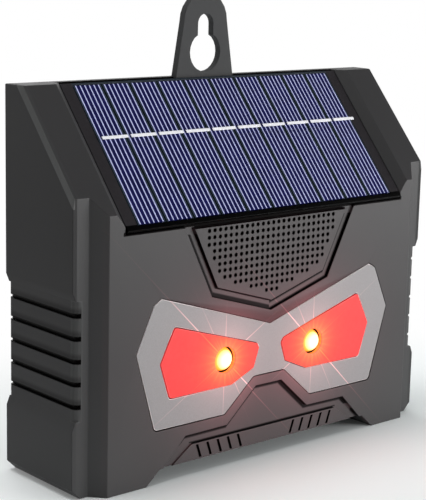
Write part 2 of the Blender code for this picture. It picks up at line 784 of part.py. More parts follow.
def face_cutters():
    """Recesses and windows in the front face."""
    cutters = [from_front(rounded(mask_outline(), MASK_ROUND), FACE_DEPTH - MASK_RECESS,
                          FACE_DEPTH + OVERRUN)]
    for side in (-1, 1):
        window = rounded(drawn_in(lens_outline(side), WINDOW_SHARE), LENS_ROUND)
        cutters.append(from_front(window, FACE_INSIDE - OVERRUN, FACE_DEPTH))
    cutout = mirrored(list(reversed(shared_outline(CUTOUT_SHARES, ARCH_HALF, 0, CUTOUT_HEIGHT))))
    lowered = [(across, up if up > 0 else -OVERRUN) for across, up in cutout]
    cutters.append(from_front(lowered, FACE_DEPTH - CUTOUT_DEPTH, FACE_DEPTH + OVERRUN))
    channel = offset(grille_outline(), CHANNEL_WIDTH)
    cutters.append(from_front(channel, FACE_DEPTH - CHANNEL_DEPTH, FACE_DEPTH + OVERRUN))
    opening = offset(grille_outline(), FIT_GAP)
    cutters.append(from_front(opening, FACE_INSIDE - OVERRUN, FACE_DEPTH + OVERRUN))
    lead_hole = circle(0, LEAD_HOLE_ALONG, LEAD_HOLE_RADIUS, SMALL_SIDES)
    cutters.append(on_slope(lead_hole, BED_DEPTH - OVERRUN, SLAB_DEPTH + OVERRUN))
    return cutters


def vent_slots(front):
    slots = []
    low = ARCH_HEIGHT + SLOT_MARGIN
    high = VENT_HIGH - SLOT_MARGIN
    half = SLOT_WIDTH / 2
    for side in (-1, 1):
        for index in range(SLOT_COUNT):
            top = ARCH_HALF * (SLOT_FIRST_SHARE - index * SLOT_PITCH_SHARE)
            foot = top - SLOT_LEAN
            slot = [(side * (foot - half), low), (side * (foot + half), low),
                    (side * (top + half), high), (side * (top - half), high)]
            slots.append(from_front(slot, front - SLOT_DEPTH, front + OVERRUN))
    return gather(slots)


def back_cover(material):
    """The flat back, set in between the walls, with the posts that carry what is inside."""
    body = from_front(offset(case_outline(), -FIT_GAP), 0, BACK_WALL)
    embed = BACK_WALL / 2
    for x, height in case_posts():
        fuse(body, from_front(circle(x, height, POST_RADIUS), embed, POST_END))
    for x, height in case_posts():
        cut(body, from_front(circle(x, height, BORE_RADIUS, SMALL_SIDES), -OVERRUN, BORE_DEPTH))
        hole = CASE_SCREW_RADIUS + FIT_GAP
        cut(body, from_front(circle(x, height, hole, SMALL_SIDES), 0, POST_END + OVERRUN))
    pilot = SMALL_SCREW_RADIUS + FIT_GAP
    small_posts = [(x, height, BOARD_BACK - FIT_GAP) for x, height in board_posts()]
    small_posts += [(side * EAR_X, EAR_HEIGHT, EAR_BACK - FIT_GAP) for side in (-1, 1)]
    for x, height, end in small_posts:
        fuse(body, from_front(circle(x, height, BOARD_POST_RADIUS, SMALL_SIDES), embed, end))
        cut(body, from_front(circle(x, height, pilot, SMALL_SIDES), embed, end + OVERRUN))
    cut(body, block(-BAY_HALF, BAY_HALF, -OVERRUN, BAY_DEPTH, BAY_LOW, BAY_LOW + BAY_HEIGHT))
    for side in (-1, 1):
        hole = circle(side * CAP_X, CONTROL_HEIGHT, CAP_RADIUS + FIT_GAP)
        cut(body, from_front(hole, -OVERRUN, BACK_WALL + OVERRUN))
    half = SOCKET_HALF + FIT_GAP
    half_height = SOCKET_HEIGHT / 2 + FIT_GAP
    cut(body, block(-half, half, -OVERRUN, BACK_WALL + OVERRUN,
                    CONTROL_HEIGHT - half_height, CONTROL_HEIGHT + half_height))
    groove = FLAP_BARREL_RADIUS + FIT_GAP
    groove_half = FLAP_BARREL_HALF + FIT_GAP
    cut(body, block(-groove_half, groove_half, 0, FLAP_AXIS_DEPTH + groove,
                    FLAP_TOP - groove, FLAP_TOP + groove))
    foot_half = TAB_FOOT_HALF + FIT_GAP
    under_top = CASE_HEIGHT - TOP_WALL
    cut(body, block(-foot_half, foot_half, TAB_BACK - FIT_GAP, BACK_WALL + OVERRUN,
                    under_top - TAB_FOOT_HEIGHT - FIT_GAP - FIT_GAP, under_top))
    return node("back_cover", body, material)


def casing_seal(material):
    """A soft strip along the back cover's border, open where the tab's foot sits."""
    strip = from_front(offset(case_outline(), -FIT_GAP), SEAL_BACK, SEAL_BACK + SEAL_THICKNESS)
    cut(strip, from_front(offset(case_outline(), -FIT_GAP - SEAL_WIDTH), 0, FACE_DEPTH))
    gap = TAB_FOOT_HALF + FIT_GAP
    cut(strip, block(-gap, gap, 0, FACE_DEPTH, SLOPE_START, CASE_HEIGHT))
    return node("casing_seal", strip, material)


def hanging_tab(material):
    """A flat ear with a keyhole, whose wide foot is held behind the back wall."""
    under_top = CASE_HEIGHT - TOP_WALL - FIT_GAP
    foot_low = under_top - TAB_FOOT_HEIGHT
    arc = [(TAB_SHOULDER_HALF * math.sin(turn), TAB_SHOULDER_HEIGHT + TAB_SHOULDER_HALF * math.cos(turn))
           for turn in [math.pi / 2 * step / SMALL_SIDES * 2 for step in range(SMALL_SIDES // 2 + 1)]]
    half = arc + [(TAB_BASE_HALF, CASE_HEIGHT), (TAB_BASE_HALF, under_top),
                  (TAB_FOOT_HALF, under_top), (TAB_FOOT_HALF, foot_low)]
    front = TAB_BACK + TAB_THICKNESS
    tab = from_front(mirrored(half), TAB_BACK, front)
    cut(tab, from_front(circle(0, KEYHOLE_HEIGHT, KEYHOLE_RADIUS), 0, front + OVERRUN))
    slot_centre = KEYSLOT_TOP - KEYSLOT_HALF
    cut(tab, from_front(circle(0, slot_centre, KEYSLOT_HALF), 0, front + OVERRUN))
    cut(tab, block(-KEYSLOT_HALF, KEYSLOT_HALF, 0, front + OVERRUN, KEYHOLE_HEIGHT, slot_centre))
    return node("hanging_tab", tab, material)


# Solar panel

def solar_panel(material):
    low = -PANEL_OVERHANG
    high = PANEL_HIGH
    board = on_slope(rectangle(-PANEL_HALF, PANEL_HALF, low, high), PANEL_SINK,
                     PANEL_SINK + PANEL_THICKNESS)
    half = CELL_COUNT * CELL_PITCH / 2
    pocket = rectangle(-half, half, low + CELL_LOW_MARGIN - FIT_GAP, high - CELL_HIGH_MARGIN + FIT_GAP)
    cut(board, on_slope(pocket, PANEL_SINK - OVERRUN, PANEL_SINK + CELL_THICKNESS + FIT_GAP))
    return node("solar_panel", board, material)


def solar_cells(material):
    low = CELL_LOW_MARGIN - PANEL_OVERHANG
    high = PANEL_HIGH - CELL_HIGH_MARGIN
    cells = []
    for index in range(CELL_COUNT):
        middle = (index - (CELL_COUNT - 1) / 2) * CELL_PITCH
        half = (CELL_PITCH - CELL_GAP) / 2
        cell = rectangle(middle - half, middle + half, low, high)
        cells.append(on_slope(cell, PANEL_SINK, PANEL_SINK + CELL_THICKNESS))
    return nodes("solar_cell", cells, material)


# Sound outlet

def grille_holes():
    """Centres of the holes: a square pattern, kept clear of the slanting edges."""
    corners = grille_outline()
    edges = [(Vector(corners[index]), Vector(corners[index + 1])) for index in range(4)]
    rows = int(GRILLE_HEIGHT / HOLE_PITCH_DOWN)
    columns = int(GRILLE_HALF / HOLE_PITCH_ACROSS)
    centres = []
    for row in range(rows):
        height = GRILLE_LOW + GRILLE_HEIGHT - HOLE_TOP_MARGIN - row * HOLE_PITCH_DOWN
        for column in range(-columns, columns + 1):
            spot = Vector((column * HOLE_PITCH_ACROSS, height))
            clear = True
            for start, end in edges:
                way = (end - start).normalized()
                inside = way.x * (spot.y - start.y) - way.y * (spot.x - start.x)
                clear = clear and -inside > HOLE_EDGE_MARGIN
            if clear:
                centres.append((spot.x, spot.y))
    return centres


def speaker_grille(material):
    plate_half = offset(grille_outline(), 0)
    body = from_front(plate_half, GRILLE_FLANGE_BACK, FACE_DEPTH)
    flange = offset(grille_outline(), GRILLE_FLANGE)
    fuse(body, from_front(flange, GRILLE_FLANGE_BACK, GRILLE_FLANGE_BACK + GRILLE_FLANGE_THICKNESS))
    pocket = offset(grille_outline(), -GRILLE_WALL)
    cut(body, from_front(pocket, GRILLE_FLANGE_BACK - OVERRUN, FACE_DEPTH - GRILLE_PLATE))
    holes = [from_front(circle(x, height, HOLE_RADIUS, HOLE_SIDES), FACE_INSIDE, FACE_DEPTH + OVERRUN)
             for x, height in grille_holes()]
    cut(body, gather(holes))
    return node("speaker_grille", body, material)


def speaker_body(material):
    """A cup with a front flange; the cone rests on a step inside it."""
    back = SPEAKER_SEAT - SPEAKER_DEPTH
    seat = SPEAKER_FRONT - CONE_SINK
    bore = CONE_RADIUS + FIT_GAP
    profile = [(0, back), (SPEAKER_RADIUS, back), (SPEAKER_RADIUS, SPEAKER_SEAT),
               (SPEAKER_FLANGE_RADIUS, SPEAKER_SEAT), (SPEAKER_FLANGE_RADIUS, SPEAKER_FRONT),
               (bore, SPEAKER_FRONT), (bore, seat), (bore - CONE_SEAT, seat),
               (bore - CONE_SEAT, back + SPEAKER_WALL), (0, back + SPEAKER_WALL)]
    return node("speaker_body", turned(profile, 0, SPEAKER_HEIGHT), material, smooth=True)


def speaker_cone(material):
    rim = SPEAKER_FRONT - CONE_SINK + FIT_GAP
    profile = [(0, rim - CONE_DISH), (CONE_RADIUS - CONE_SEAT - FIT_GAP - CONE_THICKNESS, rim),
               (CONE_RADIUS, rim), (CONE_RADIUS, rim + CONE_THICKNESS),
               (CONE_RADIUS - CONE_SEAT - FIT_GAP - CONE_THICKNESS, rim + CONE_THICKNESS),
               (0, rim + CONE_THICKNESS - CONE_DISH)]
    return node("speaker_cone", turned(profile, 0, SPEAKER_HEIGHT), material, smooth=True)


def speaker_bracket(material):
    ring = from_front(circle(0, SPEAKER_HEIGHT, BRACKET_RING), BRACKET_BACK, BRACKET_FRONT)
    fuse(ring, block(-BRACKET_HALF, BRACKET_HALF, BRACKET_BACK, BRACKET_FRONT,
                     SPEAKER_HEIGHT - BRACKET_ARM_HALF, SPEAKER_HEIGHT + BRACKET_ARM_HALF))
    cut(ring, from_front(circle(0, SPEAKER_HEIGHT, SPEAKER_RADIUS + FIT_GAP), 0, FACE_DEPTH))
    for side in (-1, 1):
        hole = circle(side * BRACKET_SCREW_X, SPEAKER_HEIGHT, SMALL_SCREW_RADIUS + FIT_GAP, SMALL_SIDES)
        cut(ring, from_front(hole, 0, FACE_DEPTH))
    return node("speaker_bracket", ring, material)


def small_screws(name, places, seat, material):
    """Small screws driven forward through a plate whose back face is at a depth."""
    head_back = seat - FIT_GAP - SMALL_SCREW_HEAD
    end = seat + SMALL_SCREW_GRIP
    screws = [screw(x, height, head_back, SMALL_SCREW_HEAD, SMALL_SCREW_HEAD_RADIUS,
                    SMALL_SCREW_RADIUS, end) for x, height in places]
    return nodes(name, screws, material, smooth=True)


def rearward_screws(name, places, seat, end, material):
    """Small screws driven backward through a plate whose front face is at a depth."""
    neck = seat + FIT_GAP
    top = neck + SMALL_SCREW_HEAD
    profile = [(0, end), (SMALL_SCREW_RADIUS, end), (SMALL_SCREW_RADIUS, neck),
               (SMALL_SCREW_HEAD_RADIUS, neck), (SMALL_SCREW_HEAD_RADIUS, top), (0, top)]
    screws = [turned(profile, x, height, SMALL_SIDES) for x, height in places]
    return nodes(name, screws, material, smooth=True)


# Eyes

def eye_mask(material):
    back = FACE_DEPTH - MASK_RECESS + FIT_GAP
    plate = from_front(rounded(offset(mask_outline(), -FIT_GAP), MASK_ROUND), back, FACE_DEPTH)
    for side in (-1, 1):
        window = rounded(lens_outline(side), LENS_ROUND)
        cut(plate, from_front(window, back - OVERRUN, FACE_DEPTH + OVERRUN))
    return node("eye_mask", plate, material)


def eye_lens(name, side, material):
    back = FACE_DEPTH - MASK_RECESS + FIT_GAP
    front = FACE_DEPTH + LENS_PROUD
    lens = from_front(rounded(offset(lens_outline(side), -FIT_GAP), LENS_ROUND), back, front)
    x, height = led_spot(side)
    cut(lens, from_front(circle(x, height, LED_RADIUS + FIT_GAP), 0, front + OVERRUN))
    return node(name, lens, material)


def eye_leds(material):
    """Round lamps with a domed tip and a flange at the board."""
    dome = LED_BASE + LED_LENGTH - LED_RADIUS
    steps = SMALL_SIDES // 3
    profile = [(0, LED_BASE), (LED_FLANGE_RADIUS, LED_BASE),
               (LED_FLANGE_RADIUS, LED_BASE + LED_FLANGE_THICKNESS),
               (LED_RADIUS, LED_BASE + LED_FLANGE_THICKNESS)]
    for step in range(steps + 1):
        turn = math.pi / 2 * step / steps
        radius = LED_RADIUS * math.cos(turn) if step < steps else 0
        profile.append((radius, dome + LED_RADIUS * math.sin(turn)))
    leds = [turned(profile, *led_spot(side), SMALL_SIDES) for side in (-1, 1)]
    return nodes("eye_led", leds, material, smooth=True)


def led_collars(material):
    inner = LED_FLANGE_RADIUS + FIT_GAP
    collars = []
    for side in (-1, 1):
        ring = from_front(circle(*led_spot(side), inner + COLLAR_WALL), LED_BASE,
                          LED_BASE + COLLAR_LENGTH)
        cut(ring, from_front(circle(*led_spot(side), inner), 0, FACE_DEPTH))
        collars.append(ring)
    return nodes("led_collar", collars, material, smooth=True)


def led_board(material):
    back = LED_BOARD_FRONT - BOARD_THICKNESS
    board = block(-LED_BOARD_HALF, LED_BOARD_HALF, back, LED_BOARD_FRONT, LED_BOARD_LOW,
                  LED_BOARD_LOW + LED_BOARD_HEIGHT)
    for x, height in led_board_posts():
        hole = circle(x, height, SMALL_SCREW_RADIUS + FIT_GAP, SMALL_SIDES)
        cut(board, from_front(hole, 0, FACE_DEPTH))
    return node("led_board", board, material)


# Main board

def main_board(material):
    board = block(-BOARD_HALF, BOARD_HALF, BOARD_BACK, BOARD_FRONT, BOARD_LOW,
                  BOARD_LOW + BOARD_HEIGHT)
    for x, height in board_posts():
        hole = circle(x, height, SMALL_SCREW_RADIUS + FIT_GAP, SMALL_SIDES)
        cut(board, from_front(hole, 0, FACE_DEPTH))
    return node("main_board", board, material)


def board_chips(material):
    """The controller, the sound driver, a choke and a capacitor, on the board's front."""
    back = BOARD_FRONT + FIT_GAP
    x, height = on_board(CHIP_PLACE_SHARES)
    chip = block(x - CHIP_HALF, x + CHIP_HALF, back, back + CHIP_THICKNESS,
                 height - CHIP_HEIGHT / 2, height + CHIP_HEIGHT / 2)
    node("controller_chip", chip, material)
    x, height = on_board(DRIVER_PLACE_SHARES)
    driver = block(x - DRIVER_HALF, x + DRIVER_HALF, back, back + CHIP_THICKNESS,
                   height - DRIVER_HEIGHT / 2, height + DRIVER_HEIGHT / 2)
    node("driver_chip", driver, material)
    x, height = on_board(COIL_PLACE_SHARES)
    choke = circle(x, height, COIL_RADIUS, SMALL_SIDES)
    node("choke_coil", from_front(choke, back, back + COIL_THICKNESS), material)
    x, height = on_board(CAPACITOR_PLACE_SHARES)
    can = circle(x, height, CAPACITOR_RADIUS, SMALL_SIDES)
    node("storage_capacitor", from_front(can, back, back + CAPACITOR_LENGTH), material)


def wire_sockets(material):
    """Open headers on the board that take the leads' plugs."""
    back = BOARD_FRONT + FIT_GAP
    front = back + HEADER_THICKNESS
    headers = []
    for shares in HEADER_PLACE_SHARES:
        x, height = on_board(shares)
        half_height = HEADER_HEIGHT / 2
        header = block(x - HEADER_HALF, x + HEADER_HALF, back, front, height - half_height,
                       height + half_height)
        inner = HEADER_HALF - HEADER_WALL
        inner_height = half_height - HEADER_WALL
        cut(header, block(x - inner, x + inner, front - HEADER_POCKET, front + OVERRUN,
                          height - inner_height, height + inner_height))
        headers.append(header)
    return nodes("wire_socket", headers, material)


def tact_switches(material):
    switches = []
    body_back = SWITCH_TIP + SWITCH_STEM
    half = SWITCH_SIZE / 2
    for side in (-1, 1):
        x = side * CAP_X
        switch = block(x - half, x + half, body_back, BOARD_BACK - FIT_GAP,
                       CONTROL_HEIGHT - half, CONTROL_HEIGHT + half)
        stem = circle(x, CONTROL_HEIGHT, SWITCH_STEM_RADIUS, SMALL_SIDES)
        fuse(switch, from_front(stem, SWITCH_TIP, body_back + SWITCH_STEM))
        switches.append(switch)
    return nodes("tact_switch", switches, material)


def usb_socket(material):
    back = BACK_WALL + FIT_GAP
    half_height = SOCKET_HEIGHT / 2
    shell = block(-SOCKET_HALF, SOCKET_HALF, back, BOARD_BACK - FIT_GAP,
                  CONTROL_HEIGHT - half_height, CONTROL_HEIGHT + half_height)
    inner = SOCKET_HALF - SOCKET_WALL
    inner_height = half_height - SOCKET_WALL
    cut(shell, block(-inner, inner, back - OVERRUN, back + SOCKET_POCKET,
                     CONTROL_HEIGHT - inner_height, CONTROL_HEIGHT + inner_height))
    return node("usb_socket", shell, material)


# Controls

def button(name, side, material):
    """A round cap with a flange inside the wall; it slides forward onto its switch."""
    profile = [(0, CAP_SINK), (CAP_RADIUS, CAP_SINK), (CAP_RADIUS, CAP_FLANGE_BACK),
               (CAP_RADIUS + CAP_FLANGE, CAP_FLANGE_BACK), (CAP_RADIUS + CAP_FLANGE, CAP_FLANGE_FRONT),
               (0, CAP_FLANGE_FRONT)]
    cap = turned(profile, side * CAP_X, CONTROL_HEIGHT)
    set_origin(cap, place(side * CAP_X, CAP_SINK, CONTROL_HEIGHT))
    return node(name, cap, material, smooth=True)


def usb_flap(material):
    """A soft flap that turns about the barrel along its top edge, with a plug inside."""
    plate = rounded(rectangle(-FLAP_HALF, FLAP_HALF, FLAP_TOP - FLAP_HEIGHT, FLAP_TOP), FLAP_ROUND)
    flap = from_front(plate, FLAP_BACK, FLAP_BACK + FLAP_THICKNESS)
    barrel = circle(FLAP_AXIS_DEPTH, FLAP_TOP, FLAP_BARREL_RADIUS, SMALL_SIDES)
    fuse(flap, from_side(barrel, -FLAP_BARREL_HALF, FLAP_BARREL_HALF))
    half = SOCKET_HALF - FLAP_PLUG_MARGIN
    half_height = SOCKET_HEIGHT / 2 - FLAP_PLUG_MARGIN
    inside = FLAP_BACK + FLAP_THICKNESS
    fuse(flap, block(-half, half, inside - FLAP_THICKNESS / 2, inside + FLAP_PLUG,
                     CONTROL_HEIGHT - half_height, CONTROL_HEIGHT + half_height))
    set_origin(flap, place(0, FLAP_AXIS_DEPTH, FLAP_TOP))
    return node("usb_flap", flap, material)


# Battery

def battery_cell(material):
    """A round cell across the casing, with a smaller cap at each end."""
    half = CELL_LENGTH / 2
    cell = from_side(circle(BATTERY_DEPTH, BATTERY_HEIGHT, CELL_RADIUS), -half, half)
    cap = circle(BATTERY_DEPTH, BATTERY_HEIGHT, CELL_CAP_RADIUS, SMALL_SIDES)
    reach = half + CELL_END_STEP
    fuse(cell, from_side(cap, -reach, reach))
    return node("battery_cell", cell, material, smooth=True)


def battery_contacts(material):
    contacts = []
    for side in (-1, 1):
        ends = sorted((side * CONTACT_INNER, side * (CONTACT_INNER + CONTACT_THICKNESS)))
        contacts.append(block(*ends, BATTERY_DEPTH - CONTACT_HALF, BATTERY_DEPTH + CONTACT_HALF,
                              BATTERY_HEIGHT - CONTACT_HALF, BATTERY_HEIGHT + CONTACT_HALF))
    return nodes("battery_contact", contacts, material)


def battery_cradle(material):
    """A trough with two end walls, and an ear at each end for its screw."""
    low = FLOOR_HEIGHT + LEDGE_WIDTH + FIT_GAP
    reach = CRADLE_BORE + CRADLE_WALL
    near = BATTERY_DEPTH - reach
    far = BATTERY_DEPTH + reach
    body = block(-CRADLE_OUTER, CRADLE_OUTER, near, far, low, BATTERY_HEIGHT)
    trough = circle(BATTERY_DEPTH, BATTERY_HEIGHT, CRADLE_BORE)
    cut(body, from_side(trough, -CRADLE_INNER, CRADLE_INNER))
    for side in (-1, 1):
        ends = sorted((side * (CRADLE_OUTER - CRADLE_END / 2), side * (CRADLE_OUTER + EAR_REACH)))
        fuse(body, block(*ends, EAR_BACK, EAR_BACK + EAR_THICKNESS,
                         EAR_HEIGHT - EAR_HALF_HEIGHT, EAR_HEIGHT + EAR_HALF_HEIGHT))
        hole = circle(side * EAR_X, EAR_HEIGHT, SMALL_SCREW_RADIUS + FIT_GAP, SMALL_SIDES)
        cut(body, from_front(hole, 0, EAR_BACK + EAR_THICKNESS + OVERRUN))
    return node("battery_cradle", body, material)


def casing_screws(material):
    head_back = BORE_DEPTH - FIT_GAP - CASE_SCREW_HEAD
    screws = [screw(x, height, head_back, CASE_SCREW_HEAD, CASE_SCREW_HEAD_RADIUS,
                    CASE_SCREW_RADIUS, CASE_SCREW_END) for x, height in case_posts()]
    return nodes("casing_screw", screws, material, smooth=True)


def main():
    for thing in list(bpy.data.objects):
        bpy.data.objects.remove(thing)
    casing = plastic("casing_plastic", (0.045, 0.044, 0.046), 0.55)
    soft = plastic("black_rubber", (0.02, 0.02, 0.02), 0.8)
    panel = plastic("panel_laminate", (0.012, 0.012, 0.014), 0.3)
    silicon = plastic("cell_silicon", (0.012, 0.014, 0.09), 0.3)
    smoke = plastic("mask_plastic", (0.42, 0.40, 0.40), 0.3)
    red = plastic("lens_plastic", (0.85, 0.03, 0.03), 0.2)
    lamp = plastic("lamp_epoxy", (1.0, 0.85, 0.55), 0.1)
    fibre = plastic("board_green", (0.02, 0.16, 0.06), 0.45)
    white = plastic("nylon_white", (0.75, 0.73, 0.68), 0.5)
    chip = plastic("chip_black", (0.02, 0.02, 0.022), 0.4)
    steel = plastic("zinc_steel", (0.55, 0.55, 0.56), 0.35, 1.0)
    wrap = plastic("cell_wrap", (0.05, 0.20, 0.45), 0.35)
    brass = plastic("contact_brass", (0.75, 0.55, 0.25), 0.3, 1.0)
    paper = plastic("cone_film", (0.60, 0.58, 0.50), 0.5)
    front_casing(casing)
    back_cover(casing)
    casing_seal(soft)
    hanging_tab(casing)
    solar_panel(panel)
    solar_cells(silicon)
    speaker_grille(casing)
    speaker_body(chip)
    speaker_cone(paper)
    speaker_bracket(chip)
    bracket_places = [(side * BRACKET_SCREW_X, SPEAKER_HEIGHT) for side in (-1, 1)]
    small_screws("bracket_screw", bracket_places, BRACKET_BACK, steel)
    eye_mask(smoke)
    eye_lens("eye_lens_left", -1, red)
    eye_lens("eye_lens_right", 1, red)
    eye_leds(lamp)
    led_collars(chip)
    led_board(fibre)
    small_screws("led_board_screw", led_board_posts(), LED_BOARD_FRONT - BOARD_THICKNESS, steel)
    main_board(fibre)
    board_chips(chip)
    wire_sockets(white)
    tact_switches(chip)
    usb_socket(steel)
    rearward_screws("board_screw", board_posts(), BOARD_FRONT, BOARD_FRONT - SMALL_SCREW_GRIP, steel)
    button("power_button", -1, soft)
    button("mode_button", 1, soft)
    usb_flap(soft)
    battery_cell(wrap)
    battery_contacts(brass)
    battery_cradle(chip)
    ear_places = [(side * EAR_X, EAR_HEIGHT) for side in (-1, 1)]
    ear_front = EAR_BACK + EAR_THICKNESS
    rearward_screws("cradle_screw", ear_places, ear_front, ear_front - SMALL_SCREW_GRIP, steel)
    casing_screws(steel)


main()
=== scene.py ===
# %% [markdown]
# # A solar animal repeller, dressed for its picture
# The CAD part gives every piece its exact shape and place. This script loads it as a fixed
# frame and adds what a moulder, a printer and a lamp would add: rounded edges, textured
# plastic, silicon cells with printed lines, tinted lenses and lit lamps.

import math

import bmesh
import bpy
from mathutils import Matrix, Vector


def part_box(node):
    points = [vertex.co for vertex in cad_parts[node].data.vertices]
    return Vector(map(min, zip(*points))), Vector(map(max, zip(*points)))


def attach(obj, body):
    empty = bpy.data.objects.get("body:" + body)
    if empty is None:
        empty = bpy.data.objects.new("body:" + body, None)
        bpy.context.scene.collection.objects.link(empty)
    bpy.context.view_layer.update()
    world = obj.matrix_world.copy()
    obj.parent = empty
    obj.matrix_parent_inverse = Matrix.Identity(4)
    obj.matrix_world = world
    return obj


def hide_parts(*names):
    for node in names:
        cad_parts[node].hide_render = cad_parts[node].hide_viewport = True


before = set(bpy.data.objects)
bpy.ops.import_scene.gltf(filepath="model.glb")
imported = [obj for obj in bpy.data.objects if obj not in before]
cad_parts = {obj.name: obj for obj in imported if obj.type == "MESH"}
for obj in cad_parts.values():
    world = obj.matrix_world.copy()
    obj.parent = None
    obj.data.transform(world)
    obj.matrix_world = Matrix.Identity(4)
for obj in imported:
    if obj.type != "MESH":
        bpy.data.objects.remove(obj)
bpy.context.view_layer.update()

# %% [markdown]
# ## The photographer's place
# The camera stands low, to the left and in front, with a long lens. Its place, its turns and
# its focal length were found from the corners of the casing, so they are written as numbers,
# and its place is measured from the casing's flat back.
# A constraint could aim the camera, but it can't lean it to one side by an exact angle. A
# camera looks along its own -Z, so its matrix is built here from a right, an up and a back
# arrow, and the studio lights are aimed by the same function further down.

# %% Camera
TURN, DIP, LEAN = (math.radians(value) for value in (41.1, 11.48, 1.36))
EYE = Vector((-0.31773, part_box("back_cover")[1].y - 0.37462, 0.16189))
FOCAL = 106.13


def aim_matrix(spot, ahead, lean=0.0):
    """A matrix that stands at a spot and looks ahead, turned about its own line of sight."""
    right = ahead.cross(Vector((0, 0, 1))).normalized()
    up = right.cross(ahead)
    turned_right = right * math.cos(lean) + up * math.sin(lean)
    turned_up = up * math.cos(lean) - right * math.sin(lean)
    turned = Matrix((turned_right, turned_up, -ahead)).transposed().to_4x4()
    return Matrix.Translation(spot) @ turned


camera = bpy.data.objects.new("camera", bpy.data.cameras.new("camera"))
bpy.context.collection.objects.link(camera)
bpy.context.scene.camera = camera
camera.data.lens = FOCAL
camera.data.clip_start = 0.01
ahead = Vector((math.sin(TURN) * math.cos(DIP), math.cos(TURN) * math.cos(DIP), -math.sin(DIP)))
camera.matrix_world = aim_matrix(EYE, ahead, LEAN)
bpy.context.scene.view_settings.view_transform = "Standard"
print("camera looks along", [round(value, 3) for value in ahead])

# %% [markdown]
# ## Writing shaders as sums
# A shader is a net of small nodes. It reads better as a line of Python, so one class holds an
# output of a node and turns +, -, * and the rest into Math nodes. Its method `add` makes every
# other kind of node from its settings and its inputs. An area is drawn with `within` and
# `near`, which give 1 inside it and 0 outside, over an edge as soft as is asked for. A
# colour ramp could draw the same areas, but its stops say less than two lengths in metres.

# %% The wire class
CRISP = 0.0001


class Wire:
    """One output of a shader node, which can be used in sums."""

    def __init__(self, tree, socket=None):
        self.tree = tree
        self.socket = socket

    def add(self, kind, settings=None, inputs=None, output=0):
        """Makes a node: first its settings, then the values or wires of its inputs."""
        node = self.tree.nodes.new(kind)
        for name, value in (settings or {}).items():
            setattr(node, name, value)
        for name, value in (inputs or {}).items():
            if isinstance(value, Wire):
                self.tree.links.new(value.socket, node.inputs[name])
            else:
                node.inputs[name].default_value = value
        return Wire(self.tree, node.outputs[output])

    def beside(self, output):
        """Another output of the same node."""
        return Wire(self.tree, self.socket.node.outputs[output])

    def sum(self, operation, first, second=0.0):
        return self.add("ShaderNodeMath", {"operation": operation}, {0: first, 1: second})

    def __add__(self, other):
        return self.sum("ADD", self, other)

    def __radd__(self, other):
        return self.sum("ADD", other, self)

    def __sub__(self, other):
        return self.sum("SUBTRACT", self, other)

    def __rsub__(self, other):
        return self.sum("SUBTRACT", other, self)

    def __mul__(self, other):
        return self.sum("MULTIPLY", self, other)

    def __rmul__(self, other):
        return self.sum("MULTIPLY", other, self)

    def __truediv__(self, other):
        return self.sum("DIVIDE", self, other)

    def __rtruediv__(self, other):
        return self.sum("DIVIDE", other, self)

    def __pow__(self, other):
        return self.sum("POWER", self, other)

    def __abs__(self):
        return self.sum("ABSOLUTE", self)

    def fraction(self):
        return self.sum("FRACT", self)

    def larger(self, other):
        return self.sum("MAXIMUM", self, other)

    def smaller(self, other):
        return self.sum("MINIMUM", self, other)

    def above(self, limit):
        return self.sum("GREATER_THAN", self, limit)

    def below(self, limit):
        return self.sum("LESS_THAN", self, limit)

    def xyz(self):
        """The three numbers of a place: to the right, to the back and up."""
        x = self.add("ShaderNodeSeparateXYZ", inputs={0: self}, output="X")
        return x, x.beside("Y"), x.beside("Z")

    def distance(self, spot):
        return self.add("ShaderNodeVectorMath", {"operation": "DISTANCE"}, {0: self, 1: spot}, "Value")

    def within(self, reach, soft=CRISP):
        """1 where the value is nearer to zero than reach, with a soft edge, and else 0."""
        return self.add("ShaderNodeMapRange", {"interpolation_type": "SMOOTHSTEP"},
                        {"Value": abs(self), "From Min": reach - soft / 2,
                         "From Max": reach + soft / 2, "To Min": 1.0, "To Max": 0.0})

    def near(self, band, soft=CRISP):
        """The same for a band, which is given as its middle and half its width."""
        middle, half = band
        return (self - middle).within(half, soft)

    def blend(self, low, high):
        """A colour between two, by this value."""
        return self.add("ShaderNodeMix", {"data_type": "RGBA"},
                        {0: self, 6: low, 7: high}, 2)

    def grains(self, scale, detail=2.0, roughness=0.5):
        """Noise at this place: scale is in grains for each metre."""
        return self.add("ShaderNodeTexNoise", {}, {"Vector": self, "Scale": scale,
                                                   "Detail": detail, "Roughness": roughness})

    def bump(self, depth, strength=1.0):
        return self.add("ShaderNodeBump", {}, {"Height": self, "Distance": depth,
                                               "Strength": strength})


def colour(red, green, blue):
    """A colour as it looks on a screen, from 0 to 255, in the light values a shader takes."""
    parts = [value / 255 for value in (red, green, blue)]
    return tuple(p / 12.92 if p <= 0.04045 else ((p + 0.055) / 1.055) ** 2.4 for p in parts) + (1.0,)


def finish(name, fixed, pattern):
    """A material: fixed values on the sockets, and what the pattern gives for each place."""
    material = bpy.data.materials.new(name)
    material.use_nodes = True
    tree = material.node_tree
    shader = tree.nodes["Principled BSDF"]
    for socket, value in fixed.items():
        shader.inputs[socket].default_value = value
    place = Wire(tree).add("ShaderNodeTexCoord", output="Object")
    for socket, wire in pattern(place).items():
        tree.links.new(wire.socket, shader.inputs[socket])
    return material


print("screen grey 91 is", round(colour(91, 91, 91)[0], 3), "in light values")

# %% [markdown]
# ## Where the pattern pieces lie
# Several finishes are drawn by place: the silicon cells, the lamps' glow and the mask. They
# use the same points as the CAD. The panel lies on a slope, so two lines give the way up the
# slope and the way in from it, and the place of a lamp is the middle of its CAD body.
# Places are in metres. A band is written as its middle and half its width.

